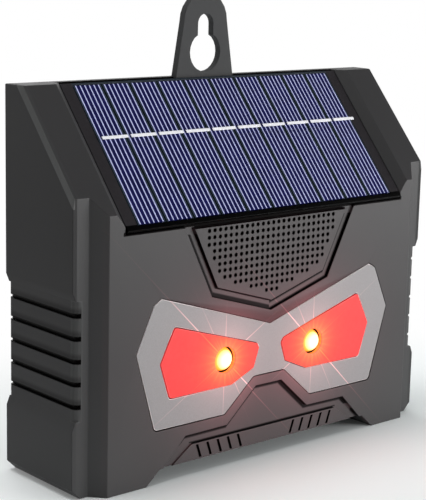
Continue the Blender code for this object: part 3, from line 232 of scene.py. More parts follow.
# %% Places from the frame
FACE_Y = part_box("eye_mask")[0].y
LENS_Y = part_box("eye_lens_left")[0].y
GRILLE_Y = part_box("speaker_grille")[0].y
RIM_DEPTH = 0.035
RIM_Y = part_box("back_cover")[1].y - RIM_DEPTH
SLOPE = math.radians(48.96)
RISE, RUN = math.sin(SLOPE), math.cos(SLOPE)
SLOPE_Y, SLOPE_Z = FACE_Y, 0.086


def middle_of(node):
    low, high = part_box(node)
    return (low + high) / 2


def slope_spot(x, along, inward):
    """A point up the slope from its foot, and inward from it."""
    return Vector((x, SLOPE_Y + along * RUN + inward * RISE,
                   SLOPE_Z + along * RISE - inward * RUN))


def slope_height(y, z):
    """How far up the slope a place is."""
    return (y - SLOPE_Y) * RUN + (z - SLOPE_Z) * RISE


def slope_depth(y, z):
    """How far inward of the slope a place is."""
    return (y - SLOPE_Y) * RISE - (z - SLOPE_Z) * RUN


lamps = [Vector((middle_of(node).x, FACE_Y, middle_of(node).z)) for node in ("eye_led_1", "eye_led_2")]
cell_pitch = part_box("solar_cell_2")[0].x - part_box("solar_cell_1")[0].x
array_half = cell_pitch * 5
print("lamps:", [[round(v, 4) for v in lamp] for lamp in lamps], "cell pitch:", round(cell_pitch, 5))

# %% [markdown]
# ## Light from the lamps
# Both lamps are lit, and they tint the mask, the lenses and the casing round them. Real
# light from such small bright sources would need very many samples to come out clean. So the
# tint is drawn: faint emission that is 1 at a lamp and fades with distance, with a few thin
# rays through each lamp, as on a picture taken with the lens stopped down.

# %% Lamp light on what is near
RAYS = [(30, 1.1, 0.7), (89, 0.8, 0.6), (118.5, 0.8, 0.6), (135.5, 1.7, 1.0)]
RAY_HALF, RAY_SOFT = 0.00016, 0.0002
UNLIT = (0.0, 0.0, 0.0, 1.0)


def single_glow(place, lamp, reach):
    """How much light of one lamp reaches a place: 1 at the lamp, and less with distance."""
    return 1.0 / (1.0 + (place.distance(lamp) / reach) ** 2.0) ** 2.0


def glow(place, reach):
    return single_glow(place, lamps[0], reach) + single_glow(place, lamps[1], reach)


def rays(place, reach):
    """Four thin lines of light through each lamp: their turn, length and strength."""
    total = 0.0
    x, y, z = place.xyz()
    for lamp in lamps:
        for turn, length, strength in RAYS:
            angle = math.radians(turn)
            off = (z - lamp.z) * math.cos(angle) - (x - lamp.x) * math.sin(angle)
            light = single_glow(place, lamp, reach * length) * strength
            total = total + off.within(RAY_HALF, RAY_SOFT) * light
    return total


print("rays through each lamp:", len(RAYS))

# %% [markdown]
# ## Shade in grooves, gaps and steps
# Grooves, gaps and the feet of steps get less light than a flat wall, and the eye reads a
# shape by them. A shader node can measure that shade, but not every program that opens the
# finished model knows it. The CAD gives the place of each groove and step, so the shade is
# drawn by place: bands of depth and height pick a wall, and straight lines that bound an
# outline pick the foot of a step. Both halves of the face are alike, so x is taken without
# its sign.

# %% Places of grooves, gaps and steps
GRIP_MIDDLE, GRIP_HALF = 0.0425, 0.0185
GRIP_SIDE = (0.0730, 0.0012)
GROOVE_PITCH, GROOVES, GROOVE_HALF = 0.00695, 5, 0.00072
ABOVE_GROOVE, ABOVE_SOFT, ABOVE_SHADE = (0.0011, 0.0011), 0.0016, 0.45
VENTS_HALF, VENTS_HEIGHT, SLOTS_HALF = 0.0400, (0.0052, 0.0051), 0.0316
SUNKEN_HALF, SUNKEN_HEIGHT = 0.0646, (0.0410, 0.0362)
WALL_DEPTH, SLOT_DEPTH, FLOOR_DEPTH = (0.00052, 0.00042), (0.00113, 0.00048), (0.0011, 0.00025)
GRILLE_LINE = [(0.0, 0.0523), (0.0230, 0.0593), (0.03275, 0.0789)]
GRILLE_FOOT, CHANNEL_WIDTH = 0.045, 0.0031
HOLE_DEPTH, HOLE_MARGIN = (0.0006, 0.00055), 0.0006
CUTOUT_LINE = [(0.0502, 0.0), (0.0349, 0.0135), (0.0177, 0.0137), (0.0056, 0.0246), (0.0, 0.0246)]
CUTOUT_CREASE, STEP_HEIGHT, STEP_HALF = 0.0013, (0.0100, 0.0007), 0.0325
CREASE_HALF, INNER_CREASE_HALF, CREASE_SOFT, CREASE_SHADE = 0.0008, 0.0010, 0.0006, 0.9
PANEL_GAP, PANEL_GAP_HALF = (0.0039, 0.0004), 0.0600
GRILLE_GAP, GRILLE_GAP_HALF, BEHIND_FACE = (0.0042, 0.0008), 0.0372, 0.0003
SLANT_OF_LIGHT = 0.0004
print("shaded grooves a side:", GROOVES, "and lines:", len(GRILLE_LINE) + len(CUTOUT_LINE) - 2)

# %% Lines on the face


def line_beside(x, z, start, end):
    """How far a place is to the right of a straight line, seen from the front."""
    way = (Vector(end) - Vector(start)).normalized()
    return abs(x) * way.y - z * way.x + (start[1] * way.x - start[0] * way.y)


def grille_line(x, z):
    """How far outside the line round the sound outlet a place is."""
    foot, flank = (line_beside(x, z, start, end) for start, end in zip(GRILLE_LINE, GRILLE_LINE[1:]))
    return foot.larger(flank)


def cutout_line(x, z):
    """How far outside the cutout below the mask a place is."""
    low, shelf, slant, top = (line_beside(x, z, start, end)
                              for start, end in zip(CUTOUT_LINE, CUTOUT_LINE[1:]))
    return low.larger(shelf.smaller(slant.larger(top)))


print("the channel meets the middle", GRILLE_LINE[0][1], "m up, and the cutout", CUTOUT_LINE[-1][1], "m up")

# %% Shade by place


def groove_shade(x, z):
    """Dark in the grooves of the grip, with a soft shade over each."""
    row = (((z - GRIP_MIDDLE) / GROOVE_PITCH + 0.5).fraction() - 0.5) * GROOVE_PITCH
    grip = (z - GRIP_MIDDLE).within(GROOVE_PITCH * GROOVES / 2) * abs(x).near(GRIP_SIDE)
    return (row.within(GROOVE_HALF, 0.0003) + row.near(ABOVE_GROOVE, ABOVE_SOFT) * ABOVE_SHADE) * grip


def crease_shade(x, z):
    """Dark at both feet of the channel round the sound outlet, and along the cutout."""
    outside = grille_line(x, z)
    slant = x.sum("SIGN", x) * SLANT_OF_LIGHT
    channel = (outside.within(CREASE_HALF + slant, CREASE_SOFT)
               + (outside - CHANNEL_WIDTH).within(INNER_CREASE_HALF - slant, CREASE_SOFT))
    edge = cutout_line(x, z).within(CUTOUT_CREASE, 0.0007)
    edge = edge + z.near(STEP_HEIGHT, 0.0004) * x.within(STEP_HALF)
    upper = z.above(GRILLE_FOOT)
    return channel * upper + edge * (1.0 - upper)


def gap_shade(x, y, z):
    """Dark in the thin gap under the panel and in the one over the sound outlet."""
    inward = slope_depth(y, z)
    under_panel = inward.near(PANEL_GAP) * x.within(PANEL_GAP_HALF)
    over_grille = inward.near(GRILLE_GAP) * x.within(GRILLE_GAP_HALF)
    return under_panel.larger(over_grille * (y - FACE_Y).above(BEHIND_FACE))


def shaded(x, y, z):
    """1 deep in grooves, gaps and steps, where little light gets in."""
    behind = y - FACE_Y
    vents = x.within(VENTS_HALF) * z.near(VENTS_HEIGHT)
    sunken = x.within(SUNKEN_HALF) * z.near(SUNKEN_HEIGHT) * (1.0 - vents)
    walls = behind.near(WALL_DEPTH) * sunken
    slots = behind.near(SLOT_DEPTH) * vents * x.within(SLOTS_HALF)
    creases = crease_shade(x, z) * behind.near(FLOOR_DEPTH) * sunken
    holes = (y - GRILLE_Y).near(HOLE_DEPTH) * grille_line(x, z).below(-HOLE_MARGIN) * z.above(GRILLE_FOOT)
    shade = groove_shade(x, z) + walls + slots + creases * CREASE_SHADE + holes + gap_shade(x, y, z)
    return shade.smaller(1.0)


print("grooves in the grip are shaded every", GROOVE_PITCH * 1000, "mm")

# %% [markdown]
# ## Moulded casing plastic
# The casing is dark grey ABS from a spark-eroded mould. Its skin is a field of tiny pits that
# scatters light, so it looks matt from most sides and paler where a lamp grazes it. A picture
# of such a skin would have to be wrapped round the shell. Noise in space needs no wrapping
# and never repeats, so fine noise drives both the bump and the roughness.
# The sides are rougher than the front, and painted shade darkens them towards the top.
# Painted light makes the casing paler low down, and painted highlights make the edges beside
# the panel and round the grip paler. The ear is drawn in a paler, more matt tone, and the
# parts inside in a blacker plastic, with the same pattern.

# %% Casing, ear and black plastic
FRONT_HALF, SIDE_EDGE = 0.0735, 0.0004
DIM_HEIGHT, LOW_LIGHT_HEIGHT, SLOW_FADE = (0.078, 0.0225), 0.0225, 0.045
EDGE_HIGHLIGHT_DEPTH, EDGE_HIGHLIGHT_FROM = (0.001, 0.00095), 0.0743
TURNED_DEPTH, TURNED_SIDE = (0.0011, 0.0013), (0.0728, 0.0014)
GLOW_COLOUR = (1.0, 0.29, 0.33, 1.0)


def spark_skin(dark, light, depth, matt=0.36):
    """The pattern of spark-textured plastic."""
    def pattern(place):
        pits = place.grains(4200.0, 3.0, 0.6)
        cloud = place.grains(70.0, 2.0, 0.5)
        return {"Base Color": (pits * 0.75 + cloud * 0.25).blend(dark, light),
                "Roughness": pits * 0.20 + matt, "Normal": pits.bump(depth, 0.55)}
    return pattern


def painted_light_and_shade(tone, sides, x, y, z):
    """Painted shade up the sides, painted light low down, painted highlights by the panel and grip."""
    # painted shade: the sides are drawn darker towards the top
    painted_side_shade = z.near(DIM_HEIGHT, SLOW_FADE) * 0.3 + z * 1.2 - 0.02
    tone = (sides * painted_side_shade).blend(tone, colour(5, 5, 5))
    # painted light: the casing is drawn paler low down
    dust_and_painted_light = z.within(LOW_LIGHT_HEIGHT, SLOW_FADE) * 0.32
    tone = dust_and_painted_light.blend(tone, colour(74, 74, 74))
    # painted highlight: the bevel beside the panel is drawn paler
    painted_edge_highlight = slope_depth(y, z).near(EDGE_HIGHLIGHT_DEPTH) * (1.0 - x.within(EDGE_HIGHLIGHT_FROM))
    tone = painted_edge_highlight.blend(tone, colour(80, 80, 80))
    # painted light: the round at the front of the grip faces away from the lights and is drawn paler
    turned = (y - RIM_Y).near(TURNED_DEPTH, SIDE_EDGE) * abs(x).near(TURNED_SIDE)
    return (turned * (z - GRIP_MIDDLE).within(GRIP_HALF, 0.0002)).blend(tone, colour(54, 54, 54))


def casing_skin(place):
    """Spark-textured plastic with painted light and shade, painted shade in its gaps and the lamps' painted
    glow.
    """
    x, y, z = place.xyz()
    parts = spark_skin(colour(34, 34, 35), colour(46, 45, 46), 0.00004)(place)
    sides = 1.0 - x.within(FRONT_HALF, SIDE_EDGE)
    hollow = shaded(x, y, z)
    beam = glow(place, 0.0115) * 1.2 + rays(place, 0.012) * 0.6
    lit = beam * (y - FACE_Y).within(0.0015, 0.0006) * (1.0 - hollow)
    parts["Base Color"] = hollow.blend(painted_light_and_shade(parts["Base Color"], sides, x, y, z), colour(5, 4, 4))
    parts["Metallic"] = hollow  # a black metal has no sheen of its own, like a deep gap
    parts["Roughness"] = parts["Roughness"] + sides * 0.25
    parts["Emission Color"] = lit.blend(UNLIT, GLOW_COLOUR)
    return parts


casing_plastic = finish("casing_plastic", {"Specular IOR Level": 0.34, "Emission Strength": 1.0}, casing_skin)
ear_plastic = finish("ear_plastic", {"Specular IOR Level": 0.12},
                     spark_skin(colour(62, 62, 63), colour(75, 75, 75), 0.00003, 0.65))
black_plastic = finish("black_plastic", {"Specular IOR Level": 0.4},
                       spark_skin(colour(24, 24, 25), colour(36, 36, 37), 0.00003))
print("textured plastics:", casing_plastic.name, ear_plastic.name, black_plastic.name)

# %% [markdown]
# ## Rubber
# The seal, the two buttons and the flap are silicone rubber: almost black, very matt, with a
# faint bloom of dust in it. One grey would look like a hole in the picture, so coarse noise
# with many layers mixes two greys, and the same noise roughens the palest spots.

# %% Black rubber


def rubber_skin(place):
    dust_and_painted_light = place.grains(900.0, 4.0, 0.65)
    return {"Base Color": dust_and_painted_light.blend(colour(22, 22, 22), colour(48, 48, 48)),
            "Roughness": dust_and_painted_light * 0.2 + 0.62, "Normal": dust_and_painted_light.bump(0.00003, 0.4)}


black_rubber = finish("black_rubber", {"Specular IOR Level": 0.35}, rubber_skin)
print("rubber finish:", black_rubber.name)

# %% [markdown]
# ## The solar panel
# Ten dark blue silicon cells lie side by side. Each carries six pale silver fingers that run
# up the slope, and a bright ribbon crosses them half way up. The fingers are a print that is
# thinner than a hair, so modelled strips would only add faces. The lines are drawn from the
# exact place on the cell: x gives the cell and the finger, and the way up the slope says
# where the fingers stop. A clear film over it all is the coat of the shader.

# %% Silicon cells
FINGERS = 6
FINGER_PITCH = 0.00173
FINGER_HALF = 0.0002
RIBBON_ALONG = 0.0274
CELL_FOOT, CELL_TOP = -0.0024, 0.0486


def cell_lines(place):
    x, y, z = place.xyz()
    across = (((x + array_half) / cell_pitch).fraction() - 0.5) * cell_pitch
    phase = (across / FINGER_PITCH + FINGERS / 2).fraction() - 0.5
    finger = (phase * FINGER_PITCH).within(FINGER_HALF, 0.00006)
    fits = across.within(FINGER_PITCH * FINGERS / 2, 0.00005)
    ends = slope_height(y, z).near(((CELL_FOOT + CELL_TOP) / 2, (CELL_TOP - CELL_FOOT) / 2))
    silver = finger * fits * ends
    grain = place.grains(260.0, 1.0, 0.4)
    navy = grain.blend(colour(1, 2, 50), colour(8, 10, 74))
    slate = grain.blend(colour(30, 40, 50), colour(42, 54, 64))
    printed = across.within(FINGER_PITCH * (FINGERS - 1) / 2 + FINGER_HALF * 2)
    return {"Base Color": silver.blend(printed.blend(slate, navy), colour(192, 197, 238)),
            "Roughness": silver * 0.15 + 0.28, "Metallic": silver * 0.25,
            "Normal": silver.bump(0.00003, 0.4)}


def tin_skin(place):
    drawn = place.grains(900.0, 2.0, 0.6)
    return {"Base Color": drawn.blend(colour(222, 222, 228), colour(250, 250, 253)),
            "Roughness": drawn * 0.15 + 0.3, "Normal": drawn.bump(0.00002, 0.3)}


tinned_ribbon = finish("tinned_ribbon", {"Metallic": 0.15}, tin_skin)
cell_silicon = finish("cell_silicon", {"Coat Weight": 0.25, "Coat Roughness": 0.08,
                                       "Specular IOR Level": 0.3}, cell_lines)
print("cell finishes:", cell_silicon.name, tinned_ribbon.name, "fingers a cell:", FINGERS)

# %% [markdown]
# ## The panel's board
# Round the cells shows the board itself: dark laminate with a satin film, a little bluer
# between the cells, and pure black below them, which is its black border with painted shade
# that also covers its end face. The areas could be separate faces with their own materials,
# but the edges between them are printed, so one pattern draws all three.

# %% Panel board
BOARD_FOOT = (-0.0134, 0.0110)


def board_skin(place):
    x, y, z = place.xyz()
    fibre = place.grains(1500.0, 3.0, 0.6)
    foot = slope_height(y, z).near(BOARD_FOOT, 0.0002)
    border = fibre.blend(colour(22, 20, 23), colour(40, 37, 40))
    behind_cells = fibre.blend(colour(20, 27, 34), colour(32, 42, 52))
    laminate = x.within(array_half).blend(border, behind_cells)
    # painted shade: the foot is pure black without sheen, over the board's black border and its end face
    return {"Base Color": foot.blend(laminate, colour(3, 3, 3)), "Metallic": foot,
            "Roughness": fibre * 0.15 + 0.33, "Normal": fibre.bump(0.00002, 0.3)}


panel_board = finish("panel_board", {"Coat Weight": 0.05, "Coat Roughness": 0.1,
                                     "Specular IOR Level": 0.25}, board_skin)
print("board finish:", panel_board.name)

# %% [markdown]
# ## Mask, lenses and lamps
# The mask is pale grey plastic, the lenses are tinted red and the lamps are lit. The light
# that a lens gathers is drawn as emission: orange near the lamp and red further out. Clear
# red plastic with a lamp behind it would come nearer to the real thing, but it is slow to
# render and looks dull without the light bouncing inside. Thin rays of painted light cross
# the lens and the mask. A pale line of painted highlight runs round the rounded rims of both,
# and painted shade makes the walls of the mask dark.

# %% Mask, lens and lamp finishes
MASK_RIM, MASK_WALL = (0.00012, 0.00010), (0.0010, 0.0007)
LENS_RIM, RIM_SOFT = (0.00011, 0.00010), 0.00004


def mask_skin(place):
    x, y, z = place.xyz()
    speck = place.grains(2600.0, 3.0, 0.6)
    light = glow(place, 0.013) * 0.52 + rays(place, 0.016) * 1.3
    tone = speck.blend(colour(130, 127, 128), colour(149, 146, 147))
    # painted highlight: a pale line on the mask's rounded rim
    tone = (y - FACE_Y).near(MASK_RIM, RIM_SOFT).blend(tone, colour(246, 236, 236))
    # painted shade: the walls of the mask are drawn dark
    tone = (y - FACE_Y).near(MASK_WALL).blend(tone, colour(20, 10, 10))
    return {"Base Color": tone,
            "Roughness": speck * 0.12 + 0.33, "Normal": speck.bump(0.00003, 0.35),
            "Emission Color": light.blend(UNLIT, (1.0, 0.40, 0.40, 1.0))}


def spikes(place):
    """Twenty short spikes of painted light close round each lamp."""
    total = 0.0
    x, y, z = place.xyz()
    for lamp in lamps:
        angle = place.sum("ARCTAN2", z - lamp.z, x - lamp.x)
        total = total + abs(place.sum("COSINE", angle * 10.0)) ** 6.0 * single_glow(place, lamp, 0.0052)
    return total


def lens_skin(place):
    x, y, z = place.xyz()
    ripple = place.grains(700.0, 2.0, 0.5)
    warmth = glow(place, 0.0062) * 1.6 + rays(place, 0.009) * 0.8 + spikes(place) * 0.7
    warm = warmth.blend(colour(150, 22, 22), colour(255, 196, 90))
    # painted highlight: a pale red line on the lens's rounded rim, drawn as emission
    rim_highlight = (y - LENS_Y).near(LENS_RIM, RIM_SOFT) * 0.8
    return {"Base Color": ripple.blend(colour(232, 48, 50), colour(246, 62, 62)),
            "Roughness": ripple * 0.1 + 0.30, "Normal": ripple.bump(0.00004, 0.25),
            "Emission Color": rim_highlight.blend(warm, colour(255, 120, 120))}


def lamp_skin(place):
    x, y, z = place.xyz()
    flat = place.add("ShaderNodeCombineXYZ", inputs={0: x, 1: FACE_Y, 2: z})
    far = flat.distance(lamps[0]).smaller(flat.distance(lamps[1]))
    core = far.within(0.0026, 0.0022)
    # painted shade: a dark olive ring round the edge of the dome, where the gap in the lens hole shades it
    painted_ring_shade = (far - 0.0035).within(0.0004, 0.0004)
    return {"Base Color": painted_ring_shade.blend(colour(255, 214, 130), colour(110, 92, 40)),
            "Roughness": painted_ring_shade * 0.2 + 0.08,
            "Emission Color": core.blend(colour(255, 150, 40), colour(255, 250, 190))}


mask_plastic = finish("mask_plastic", {"Specular IOR Level": 0.45, "Emission Strength": 1.0}, mask_skin)
lens_plastic = finish("lens_plastic", {"Specular IOR Level": 0.25, "Emission Strength": 0.6}, lens_skin)
lamp_epoxy = finish("lamp_epoxy", {"Emission Strength": 1.7, "Coat Weight": 0.6}, lamp_skin)
print("lit finishes:", mask_plastic.name, lens_plastic.name, lamp_epoxy.name)

# %% [markdown]
# ## Finishes inside the casing
# These show only with the casing off. A board is green solder mask over a pale weave with
# copper tracks under it, a screw is zinc over steel, and the battery cell has a shrink wrap
# that stops short of its two metal ends. Rolled and brushed metal has long fine streaks, so
# its noise is stretched along one axis by a Mapping node.

# %% Inner finishes
WRAP_HALF = 0.0322
CONE_RING = 0.0011


def drawn_out(place, x, y, z, scale):
    """Long fine streaks: grains that are stretched along an axis whose share is small."""
    stretched = place.add("ShaderNodeMapping", {}, {0: place, "Scale": (x, y, z)})
    return stretched.grains(scale, 3.0, 0.6)


def solder_mask(place):
    x, y, z = place.xyz()
    track = ((x / 0.0021).fraction() - 0.5).within(0.16, 0.08)
    region = place.grains(110.0, 0.0, 0.5).above(0.52)
    weave = ((z / 0.0006).fraction() - 0.5).within(0.25, 0.2)
    tone = (track * region * 0.8 + weave * 0.12).blend(colour(16, 88, 46), colour(48, 140, 74))
    return {"Base Color": tone, "Roughness": weave * 0.05 + 0.3,
            "Normal": (track * region).bump(0.00003, 0.5)}


def nylon_skin(place):
    cloud = place.grains(500.0, 2.0, 0.5)
    return {"Base Color": cloud.blend(colour(222, 217, 204), colour(236, 232, 220)),
            "Roughness": cloud * 0.15 + 0.4, "Normal": cloud.bump(0.00002, 0.3)}


def zinc_skin(place):
    streak = drawn_out(place, 1.0, 0.08, 1.0, 5200.0)
    return {"Base Color": streak.blend(colour(165, 166, 168), colour(208, 209, 212)),
            "Roughness": streak * 0.2 + 0.25, "Normal": streak.bump(0.00002, 0.35)}


def wrap_skin(place):
    x, y, z = place.xyz()
    wrapped = x.within(WRAP_HALF, 0.0002)
    crease = place.grains(240.0, 2.0, 0.5)
    blue = crease.blend(colour(26, 84, 132), colour(38, 108, 164))
    return {"Base Color": wrapped.blend(colour(190, 190, 192), blue), "Metallic": 1.0 - wrapped,
            "Roughness": crease * 0.1 + 0.26, "Normal": crease.bump(0.00006, 0.3)}


def brass_skin(place):
    brushed = drawn_out(place, 1.0, 1.0, 0.1, 4200.0)
    return {"Base Color": brushed.blend(colour(190, 166, 106), colour(222, 200, 140)),
            "Roughness": brushed * 0.18 + 0.22, "Normal": brushed.bump(0.00002, 0.3)}


def film_skin(place):
    x, y, z = place.xyz()
    middle = middle_of("speaker_cone")
    radius = ((x - middle.x) ** 2.0 + (z - middle.z) ** 2.0) ** 0.5
    wave = ((radius / CONE_RING).fraction() - 0.5).within(0.25, 0.3)
    return {"Base Color": wave.blend(colour(186, 180, 160), colour(206, 201, 184)),
            "Roughness": wave * 0.1 + 0.35, "Normal": wave.bump(0.0001, 0.4)}


board_fibre = finish("board_fibre", {"Coat Weight": 0.4}, solder_mask)
header_nylon = finish("header_nylon", {"Specular IOR Level": 0.4}, nylon_skin)
zinc_steel = finish("zinc_steel", {"Metallic": 1.0}, zinc_skin)
cell_wrap = finish("cell_wrap", {"Coat Weight": 0.3}, wrap_skin)
contact_brass = finish("contact_brass", {"Metallic": 1.0}, brass_skin)
cone_film = finish("cone_film", {"Specular IOR Level": 0.4}, film_skin)
print("finishes in all:", len(bpy.data.materials))

# %% [markdown]
# ## Softened edges
# No moulded edge is truly sharp. A Bevel modifier would round the edges too, but here some
# edges have to stay as they are, so the bevel is an operator that is given its edges.
# A copy of a CAD node is joined from its loose triangles, its flat faces are made whole
# again, and its sharp edges get a small bevel that catches the light. The copy is kept
# inside the node's own box, and it stands for the node, which stays in the frame for
# collision.

# %% Softened copies
SHARP, CREASED = math.radians(25), math.radians(38)


def joined_copy(node):
    """A bmesh of a CAD node with its triangles joined and its flat faces whole."""
    shape = bmesh.new()
    shape.from_mesh(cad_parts[node].data)
    bmesh.ops.remove_doubles(shape, verts=shape.verts[:], dist=0.000002)
    bmesh.ops.dissolve_limit(shape, angle_limit=0.01, verts=shape.verts[:], edges=shape.edges[:])
    return shape


def soften(shape, width, segments=2, fine=None, bare=None):
    """Rounds the sharp edges that are long enough to take it, less where the detail is fine."""
    sharp = [edge for edge in shape.edges if len(edge.link_faces) == 2
             and edge.calc_face_angle(0.0) > SHARP and edge.calc_length() > width * 2
             and not (bare and any(bare(vert.co) for vert in edge.verts))]
    close = [edge for edge in sharp if fine and all(fine(vert.co) for vert in edge.verts)]
    apart = set(close)
    wide = [edge for edge in sharp if edge not in apart]
    for edges, offset in ((wide, width), (close, width / 4)):
        if edges:
            bmesh.ops.bevel(shape, geom=[edge for edge in edges if edge.is_valid], offset=offset,
                            offset_type="OFFSET", affect="EDGES", segments=segments, profile=0.5,
                            material=-1, clamp_overlap=False)
    return len(sharp)


def piece(name, shape, material, slot, body, *stands_for):
    """A finished piece: smooth skin, its material, and the CAD nodes that it stands for."""
    mesh = bpy.data.meshes.new(name)
    shape.to_mesh(mesh)
    shape.free()
    mesh.shade_smooth()
    mesh.set_sharp_from_angle(angle=CREASED)
    thing = bpy.data.objects.new(name, mesh)
    bpy.context.collection.objects.link(thing)
    mesh.materials.append(material)
    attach(thing, body)
    if stands_for:
        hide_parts(*stands_for)
    even = thing.modifiers.new("even_light", "WEIGHTED_NORMAL")
    even.keep_sharp = True
    return thing


def softened(node, width, material, slot, body="casing", segments=2, fine=None, bare=None):
    """A piece in the shape of a CAD node, with its edges rounded."""
    shape = joined_copy(node)
    rounded = soften(shape, width, segments, fine, bare)
    low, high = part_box(node)
    for vert in shape.verts:
        vert.co = [min(max(part, least), most) for part, least, most in zip(vert.co, low, high)]
    thing = piece(node + "_moulding", shape, material, slot, body, node)
    print(node, "edges rounded:", rounded, "faces:", len(thing.data.polygons))
    return thing


print("edges sharper than", round(math.degrees(SHARP)), "degrees are rounded")

# %% [markdown]
# ## The mouldings
# The two halves of the casing and the ear have edges of about a quarter of a millimetre. The
# mask and the lenses are thinner and crisper, and the rubber buttons are rounder. Where
# detail stands too close for a full bevel, as between the vent slots, it is a quarter as
# wide, and at the back of the grip there is none.

# %% Mouldings


def in_vents(spot):
    """The strip of slots at the foot of the front face."""
    return spot.z < 0.0108 and abs(spot.x) < 0.0405 and spot.y < FACE_Y + 0.0024


def at_grip_corner(spot):
    """The back round of the grip, where its ramps and grooves run out too tight for a bevel."""
    return abs(spot.x) > 0.0712 and spot.y > 0.0180 and abs(spot.z - GRIP_MIDDLE) < 0.0225


softened("front_casing", 0.00025, casing_plastic, "casing_plastic", fine=in_vents, bare=at_grip_corner)
softened("back_cover", 0.00025, casing_plastic, "casing_plastic")
softened("hanging_tab", 0.0003, ear_plastic, "ear_plastic")
softened("speaker_grille", 0.00012, casing_plastic, "casing_plastic", segments=1)
softened("solar_panel", 0.00012, panel_board, "panel_board")
softened("eye_mask", 0.00022, mask_plastic, "mask_plastic")
softened("eye_lens_left", 0.0002, lens_plastic, "lens_plastic")
softened("eye_lens_right", 0.0002, lens_plastic, "lens_plastic")
softened("power_button", 0.0003, black_rubber, "black_rubber", "power_button")
softened("mode_button", 0.0003, black_rubber, "black_rubber", "mode_button")
softened("usb_flap", 0.00015, black_rubber, "black_rubber", "usb_flap")

# %% [markdown]
# ## Lit lamps
# A round lamp is a short cylinder of clear epoxy with a dome and a flange at its foot. It
# could be a cylinder joined to half a ball, but then the joint would have to be cleaned up.
# Half its outline is drawn once and spun round the lamp's axis instead, so it is closed and
# its dome is truly round.

# %% Lamps
LAMP_RADIUS, FLANGE_WIDTH, FLANGE_DEPTH = 0.004, 0.0005, 0.001
DOME_STEPS, TURN_STEPS = 12, 40


def spun(points, centre, steps):
    """Spins an outline of radii and places on Y round a line through a centre."""
    shape = bmesh.new()
    verts = [shape.verts.new((centre.x + radius, y, centre.z)) for radius, y in points]
    edges = [shape.edges.new(pair) for pair in zip(verts, verts[1:])]
    bmesh.ops.spin(shape, geom=verts + edges, cent=centre, axis=(0, 1, 0), angle=math.tau,
                   steps=steps, use_merge=True)
    bmesh.ops.remove_doubles(shape, verts=shape.verts[:], dist=0.000001)
    bmesh.ops.recalc_face_normals(shape, faces=shape.faces[:])
    return shape


def lamp_outline(low, high):
    """From the flat base, round the flange and up over the dome."""
    flange = LAMP_RADIUS + FLANGE_WIDTH
    points = [(0.0, high.y), (flange, high.y), (flange, high.y - FLANGE_DEPTH),
              (LAMP_RADIUS, high.y - FLANGE_DEPTH * 1.1)]
    dome = low.y + LAMP_RADIUS
    for step in range(DOME_STEPS + 1):
        turn = math.pi / 2 * step / DOME_STEPS
        reach = LAMP_RADIUS * math.cos(turn) if step < DOME_STEPS else 0.0
        points.append((reach, dome - LAMP_RADIUS * math.sin(turn)))
    return points


for number, node in enumerate(("eye_led_1", "eye_led_2"), 1):
    low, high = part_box(node)
    shape = spun(lamp_outline(low, high), middle_of(node), TURN_STEPS)
    piece(f"eye_lamp_{number}", shape, lamp_epoxy, "lamp_epoxy", "casing", node)
print("lamp tip at y =", round(low.y, 5))

# %% [markdown]
# ## Tabbing ribbons
# A flat tinned ribbon is soldered across each cell to carry its current. It is 1.1 mm wide
# and stops half a millimetre short of the cell's edges, which leaves a dash on each cell. It
# could be printed like the fingers, but a real ribbon stands proud and catches the light
# along its edge. So each is a stretched cube, turned to lie in the slope.

# %% Ribbons
RIBBON_WIDTH, RIBBON_THICKNESS, RIBBON_DEPTH = 0.0011, 0.00016, 0.00098
RIBBON_GAP = 0.0011
ribbons = bmesh.new()
slant = Matrix.Rotation(SLOPE, 4, "X")
sizes = Matrix.Diagonal((cell_pitch - RIBBON_GAP, RIBBON_WIDTH, RIBBON_THICKNESS, 1.0))
for number in range(10):
    spot = slope_spot(-array_half + cell_pitch * (number + 0.5), RIBBON_ALONG, RIBBON_DEPTH)
    bar = bmesh.ops.create_cube(ribbons, size=1.0)["verts"]
    bmesh.ops.transform(ribbons, matrix=Matrix.Translation(spot) @ slant @ sizes, verts=bar)
soften(ribbons, 0.00005, 1)
piece("cell_ribbons", ribbons, tinned_ribbon, "zinc_steel", "casing")
print("ribbons at height", round(spot.z, 4))

# %% [markdown]
# ## Finishes for the pieces that keep their CAD shape
# Every other node is right as it is, because it is flat, small or hidden in the casing. It
# keeps its shape, and its material slots are given the finish of what it is made of.

# %% Finishes by node
by_finish = {
    "cell_silicon": (cell_silicon, [f"solar_cell_{number}" for number in range(1, 11)]),
    "black_rubber": (black_rubber, ["casing_seal"]),
    "board_fibre": (board_fibre, ["led_board", "main_board"]),
    "header_nylon": (header_nylon, [f"wire_socket_{number}" for number in (1, 2, 3)]),
    "black_plastic": (black_plastic, ["speaker_body", "speaker_bracket", "controller_chip",
                                      "driver_chip", "choke_coil", "storage_capacitor",
                                      "battery_cradle", "led_collar_1", "led_collar_2",
                                      "tact_switch_1", "tact_switch_2"]),
    "zinc_steel": (zinc_steel, ["usb_socket"] + [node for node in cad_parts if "screw" in node]),
    "cell_wrap": (cell_wrap, ["battery_cell"]),
    "contact_brass": (contact_brass, ["battery_contact_1", "battery_contact_2"]),
    "cone_film": (cone_film, ["speaker_cone"]),
}
for slot, (material, names) in by_finish.items():
    for name in names:
        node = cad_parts[name]
        node.data.materials.clear()
        node.data.materials.append(material)
    print(slot, "->", len(names), "nodes")

# %% [markdown]
# ## Floor and light
# The floor is pale paper. A shadow catcher would need a second layer in the picture, so one
# material does both jobs: far from the object it shows plain white to the camera, and near
# the object it is a real surface that takes the shadow.

# %% Floor
FLOOR_HALF = 12.0
SHADOW_SPOT, SHADOW_REACH, SHADOW_SOFT = (0.02, -0.02, 0.0), 0.125, 0.11


def seen_straight(wire):
    """1 for rays that should meet the white background."""
    path = wire.add("ShaderNodeLightPath", output="Is Camera Ray")
    return path.larger(path.beside("Is Glossy Ray")).larger(path.beside("Is Transmission Ray"))


